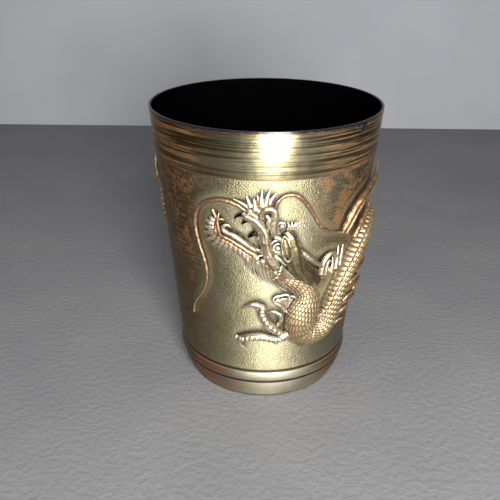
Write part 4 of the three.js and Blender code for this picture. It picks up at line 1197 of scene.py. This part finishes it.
upper_toe_line = [(6.6, 28.6, 1.2, 1.5), (3.8, 30.8, 1.5, 1.8), (1.4, 33.6, 1.55, 1.9),
                  (-0.1, 36.6, 1.5, 1.9), (-0.3, 39.2, 1.4, 1.9)]
melt("toe_upper", [
    stroke(upper_toe_line), ball(-0.2, 39.5, 1.5, 1.9), *ringed(upper_toe_line, 7, 0.5, 0.85),
], "fore_toe_upper", relief_gold, skin=0.13, smooth=1, lumps=0.15)
melt("claw_upper", [
    stroke([(-0.6, 40.2, 1.0, 1.9), (-2.9, 40.9, 0.85, 1.9), (-5.2, 40.0, 0.65, 1.7), (-6.8, 38.8, 0.4, 1.4),
            (-7.8, 37.5, 0.12, 1.1)]),
    ball(-1.6, 38.8, 0.8, 1.3),
], "fore_claw_upper", relief_gold, skin=0.12)
lower_toe_line = [(7.2, 26.4, 1.2, 1.5), (3.8, 26.6, 1.45, 1.7), (0.0, 27.6, 1.5, 1.8),
                  (-4.0, 27.3, 1.45, 1.7), (-7.4, 26.2, 1.3, 1.5)]
melt("toe_lower", [
    stroke(lower_toe_line), ball(-7.8, 26.0, 1.4, 1.6), *ringed(lower_toe_line, 9, 0.5, 0.85),
], "fore_toe_lower", relief_gold, skin=0.13, smooth=1, lumps=0.15)
melt("claw_lower", [
    stroke([(-8.5, 25.4, 0.9, 1.5), (-8.3, 23.8, 0.75, 1.5), (-7.2, 22.3, 0.55, 1.3),
            (-5.0, 21.0, 0.12, 0.9)]),
    ball(-9.6, 26.4, 0.75, 1.2),
], "fore_claw_lower", relief_gold, skin=0.12)
melt("thumb", [
    stroke([(5.2, 32.0, 0.8, 1.2), (6.2, 33.8, 0.9, 1.5), (6.1, 36.0, 0.85, 1.6), (4.7, 37.4, 0.7, 1.6),
            (3.0, 37.8, 0.45, 1.4), (1.8, 37.2, 0.12, 1.2)]),
], "fore_thumb", relief_gold, skin=0.12)
melt("paw", [
    ball(7.2, 27.2, 2.0, 1.4, 0.9), ball(4.8, 24.8, 1.0, 1.0),
    stroke([(5.2, 25.4, 0.9, 1.1), (7.0, 26.8, 1.6, 1.6), (9.0, 28.6, 1.6, 1.6)]),
], "fore_paw", relief_gold, skin=0.14)

melt("cloud_scroll", [
    *[stroke([(8.0, 37.6, 0.7, 0.4), (6.9 + 0.3 * i, 40.4, 1.2, 0.4),
              (4.4 + 1.5 * i, 42.3 + 0.3 * i, 1.2, 0.4)]) for i in range(3)],
    stroke([(7.6, 37.4, 0.4, 1.1), (6.1, 39.8, 0.45, 1.3), (3.6, 41.8, 0.5, 1.3), (3.5, 43.0, 0.5, 1.3),
            (5.6, 43.9, 0.5, 1.3), (8.3, 44.0, 0.5, 1.4), (8.9, 42.0, 0.45, 1.5), (8.4, 39.4, 0.4, 1.4)]),
    stroke([(9.0, 43.4, 0.45, 1.2), (10.8, 42.9, 0.5, 1.2), (11.9, 40.4, 0.5, 1.2), (11.1, 38.0, 0.5, 1.1),
            (8.9, 36.8, 0.5, 1.0), (8.0, 37.4, 0.45, 1.0)]),
    stroke([(9.6, 42.0, 1.0, 0.1), (10.2, 39.8, 1.2, 0.1), (9.2, 38.0, 0.8, 0.1)]),
], "cloud_scroll", relief_gold, skin=0.14, lumps=0.15)

# %% [markdown]
# ## Fins and flames
# A row of fins follows the back of the body. In front they are five large leaves, each a copper face
# with a bright rim along its upper edge, and they differ so much that each has its own line. Behind
# the cup they are small and alike, so a rule lays them along the body, swung a little out of step.
# Longer flames leave the shoulder and rise to the right, and five more end the tail.

# %% Model the fins and flames
def fins(name, path, side, first, last, length, width, node, sunk):
    """Fourteen flame-shaped lobes along one edge of the body, each leaning back towards the tail."""
    along, samples = path
    parts = []
    count = 14
    for i in range(count):
        s = first + (last - first) * i / (count - 1)
        k = min(int(np.searchsorted(along, s)), len(along) - 2)
        u, z, wide, _ = samples[k]
        ahead = samples[k + 1, :2] - samples[k, :2]
        ahead = ahead / np.hypot(*ahead)
        out = np.array((-ahead[1], ahead[0])) * side
        base = np.array((u, z)) + out * (wide / 2 - sunk)
        swing = 1.0 - 0.12 * (i % 3)
        tip = base + out * length * 0.62 * swing + ahead * length * 0.75 * swing
        middle = base + out * length * 0.5 + ahead * length * 0.2
        parts.append(stroke([(*base, width * 0.5, 0.9), (*middle, width * 0.42, 1.7), (*tip, 0.14, 1.4)]))
        inner = base - ahead * width * 0.5
        inner_middle = middle - ahead * width * 0.55
        inner_tip = tip * 0.7 + middle * 0.3 - ahead * width * 0.5
        parts.append(stroke([(*inner, width * 0.3, 0.8), (*inner_middle, width * 0.22, 1.5),
                             (*inner_tip, 0.12, 1.3)]))
    melt(name, parts, node, relief_copper, skin=0.16)


leaves = (
    ((35.4, 44.4), (39.4, 46.6), (43.4, 47.6), (47.6, 47.6), 2.1),
    ((32.8, 38.4), (36.6, 40.6), (40.8, 41.2), (45.2, 39.0), 2.2),
    ((31.4, 33.2), (34.4, 35.2), (38.2, 35.6), (42.2, 33.4), 1.9),
    ((29.4, 28.6), (31.8, 31.0), (34.6, 31.6), (37.4, 30.2), 1.5),
    ((27.2, 25.6), (29.6, 27.4), (31.8, 27.8), (33.6, 26.8), 1.0),
)
leaf_parts = []
for root, rise, crest, tip, wide in leaves:
    leaf_parts.append(stroke([(*root, wide * 0.8, 0.6), (*rise, wide, 1.5), (*crest, wide * 0.8, 2.0),
                              (*tip, 0.2, 1.9)]))
    leaf_parts.append(stroke([(root[0] - 0.2, root[1] + wide * 0.7, 0.45, 1.9),
                              (rise[0] - 0.3, rise[1] + wide * 0.9, 0.5, 2.8),
                              (crest[0], crest[1] + wide * 0.7, 0.42, 3.1), (*tip, 0.16, 2.3)]))
melt("fin_front", leaf_parts, "dorsal_fin_front", relief_copper, skin=0.15)
fins("fin_back", back_path, -1, 6, back_cut - 4, 4.6, 2.2, "dorsal_fin_back", 0.4)
fins("fin_rear", back_path, 1, back_cut + 8, rear_cut - 6, 3.8, 1.8, "dorsal_fin_rear", 0.3)

melt("shoulder_flame", [
    stroke([(27.2, 63.4, 0.6, 1.2), (28.6, 66.4, 1.2, 1.5), (30.4, 70.0, 1.3, 1.7), (33.8, 73.4, 1.3, 1.8),
            (38.4, 75.6, 1.2, 1.7), (44.0, 77.8, 1.0, 1.6), (50.4, 81.6, 0.3, 1.4)]),
    stroke([(29.4, 62.8, 0.4, 1.2), (31.2, 65.6, 0.7, 1.5), (33.4, 68.8, 0.7, 1.6), (37.4, 72.2, 0.5, 1.5)]),
    lock([(33.2, 60.2), (36.0, 63.4), (40.6, 66.8), (46.0, 70.4), (52.0, 73.6)], 0.9, 2.0),
    lock([(37.0, 61.6), (41.6, 65.0), (47.4, 68.4)], 0.8, 2.0),
], "shoulder_flame", relief_copper, skin=0.16)
melt("tail_fan", [
    lock([(166.6, 69.0), (162.6, 74.6), (161.0, 81.2)], 1.1, 1.5),
    lock([(166.8, 69.0), (164.8, 75.6), (164.4, 82.0)], 0.9, 1.6),
    lock([(166.8, 69.0), (166.4, 76.0), (167.4, 83.0)], 1.1, 1.7),
    lock([(167.0, 69.0), (169.2, 75.6), (170.4, 81.8)], 0.9, 1.6),
    lock([(167.2, 69.0), (170.6, 74.6), (173.4, 80.8)], 1.1, 1.5),
], "tail_fan", relief_copper, skin=0.18)

# %% [markdown]
# ## The legs behind
# The photograph shows only the front, so the two legs behind are a guess from how such dragons are
# made: a scaled thigh, a shin, and a foot of three long claws and a thumb.

# %% Model the legs behind
def leg(node, stations):
    path = smooth_path(stations, 0.2)
    scaled_skin(node, path, 0, path[0][-1], node, 48, 0.45, round_start=1.6, round_end=1.2)


def foot_of_claws(node, wrist, heading, size, mirror):
    """Three clawed toes and a thumb, spread from the wrist and turned to a heading in degrees."""
    lean = math.radians(heading)

    def place(ahead, aside):
        aside *= mirror
        return (wrist[0] + size * (ahead * math.cos(lean) - aside * math.sin(lean)),
                wrist[1] + size * (ahead * math.sin(lean) + aside * math.cos(lean)))

    digits = (((-0.6, 0.3), (4.8, 3.4), (8.0, 3.6), (10.6, 1.6)),
              ((0, 0), (5.4, 0), (8.4, -1), (10.8, -3.6)),
              ((-0.4, -0.6), (3.8, -3.6), (6.4, -6), (6.6, -9.4)),
              ((-0.6, 0.6), (-1.8, 3.4), (-0.2, 6), (2.4, 6.8)))
    parts = [ball(*place(0.4, 0), 1.9 * size, 1.5, 0.8)]
    for digit in digits:
        knuckle, root, bend, tip = (place(*point) for point in digit)
        line = [(*knuckle, 1.1 * size, 1.4), (*root, 1.05 * size, 1.6), (*bend, 0.75 * size, 1.5),
                (*tip, 0.14, 1.0)]
        parts += [stroke(line), *ringed(line[:2], 3, 0.4, 0.8)]
    melt(node, parts, node, relief_gold, skin=0.17)


leg("shoulder_leg", [(60.6, 57.6, 6.4, 3.9), (61, 54, 6, 3.8), (61.4, 49, 5.6, 3.8),
                     (58.8, 44, 4.4, 3.4), (59.8, 38.6, 3.6, 3), (60, 36, 3.2, 2.8)])
leg("hind_leg", [(91.0, 37.4, 6.4, 3.9), (89.6, 41.2, 6, 3.8), (87.6, 46.6, 5.6, 3.8),
                 (90.8, 52, 4.4, 3.4), (89.8, 57.4, 3.6, 3), (90, 60.4, 3.2, 2.8)])
foot_of_claws("shoulder_paw", (60.2, 34.8), -80, 0.86, 1)
foot_of_claws("hind_paw", (90.2, 61.2), 78, 0.8, -1)
print("the relief is complete")

# %% [markdown]
# ## The table and the wall behind it
# The cup stands on a light grey table with a fine grain, against a plain grey wall. Both are only there
# to hold its shadow and to be mirrored in the brass.

# %% Floor and backdrop
def plain_finish(name, light, dark, grain_mm, grain_depth_mm, rough):
    """Dull paint with a grain and a slow change of tone."""
    material, tree, shader = new_material(name)
    place = add_node(tree, "TexCoord", output="Object")
    grain = add_node(tree, "TexNoise", {
        "Vector": place, "Scale": scale_of(grain_mm), "Detail": 3.0, "Roughness": 0.55})
    tone = add_node(tree, "TexNoise", {
        "Vector": place, "Scale": scale_of(60), "Detail": 2.0, "Roughness": 0.55})
    grainy = add_node(tree, "MapRange", grain, 0.3, 0.7, 0.8, 1.0, **eased)
    share = add_node(tree, "Math", tone, grainy, **times)
    colour = add_node(tree, "MixRGB", share, linear(dark), linear(light))
    tree.links.new(colour, shader.inputs["Base Color"])
    shader.inputs["Roughness"].default_value = rough
    shader.inputs["Specular IOR Level"].default_value = 0.3
    depth = add_node(tree, "Math", grain, grain_depth_mm * MM, **times)
    bump = add_node(tree, "Bump", {"Height": depth, "Distance": 1.0, "Strength": 0.7})
    tree.links.new(bump, shader.inputs["Normal"])
    return material


floor_size = 3.0
backdrop_away = 0.35

deselect()
bpy.ops.mesh.primitive_plane_add(size=floor_size, location=(0, 0, 0))
floor = bpy.context.object
floor.name = "table"
floor.data.materials.append(plain_finish("painted_table", "6c6c6d", "58595c", 2.4, 0.5, 0.75))

deselect()
bpy.ops.mesh.primitive_plane_add(size=floor_size, location=(0, backdrop_away, 0))
backdrop = bpy.context.object
backdrop.name = "backdrop"
backdrop.rotation_euler = (math.radians(90), 0, 0)
backdrop.data.materials.append(plain_finish("painted_wall", "888a8f", "7c7e83", 40, 0.05, 0.8))
print("the backdrop stands %.0f cm behind the cup's axis" % (backdrop_away * 100))

# %% [markdown]
# ## The light
# A soft light of 18 by 30 cm stands half a metre from the cup, 9 degrees to the right of the camera
# and 20 degrees above the table. On the brass it makes a bright, upright streak, which the turned
# rings draw out up and down. A weak light on the left and one overhead stand for the rest of a dim
# room, so the cup's flanks turn dark brown as they do in the photograph.

# %% Lights
lit_point = Vector((0, 0, 0.05))  # the middle of the cup


def area_light(name, azimuth, elevation, away, size, power, colour):
    """A soft light that looks at the cup. The azimuth is counted from the front to the right."""
    turn, rise = math.radians(azimuth), math.radians(elevation)
    offset = Vector((math.sin(turn) * math.cos(rise), -math.cos(turn) * math.cos(rise), math.sin(rise)))
    deselect()
    bpy.ops.object.light_add(type="AREA", location=lit_point + away * offset)
    lamp = bpy.context.object
    lamp.name = name
    lamp.data.shape = "RECTANGLE"
    lamp.data.size, lamp.data.size_y = size
    lamp.data.energy = power
    lamp.data.color = linear(colour)[:3]
    lamp.rotation_euler = (-offset).to_track_quat("-Z", "Y").to_euler()


area_light("key_light", 9, 20, 0.5, (0.18, 0.3), 11.0, "fffdfa")
area_light("left_fill", -80, 35, 1.1, (0.5, 0.6), 0.6, "f2f4ff")
area_light("room_light", 10, 78, 1.3, (1.2, 1.2), 3.0, "ffffff")

world = bpy.data.worlds.new("dim_room")
world.use_nodes = True
bpy.context.scene.world = world
background = world.node_tree.nodes["Background"]
background.inputs["Color"].default_value = linear("9a9ca0")
background.inputs["Strength"].default_value = 0.2

bpy.context.scene.view_settings.view_transform = "Standard"
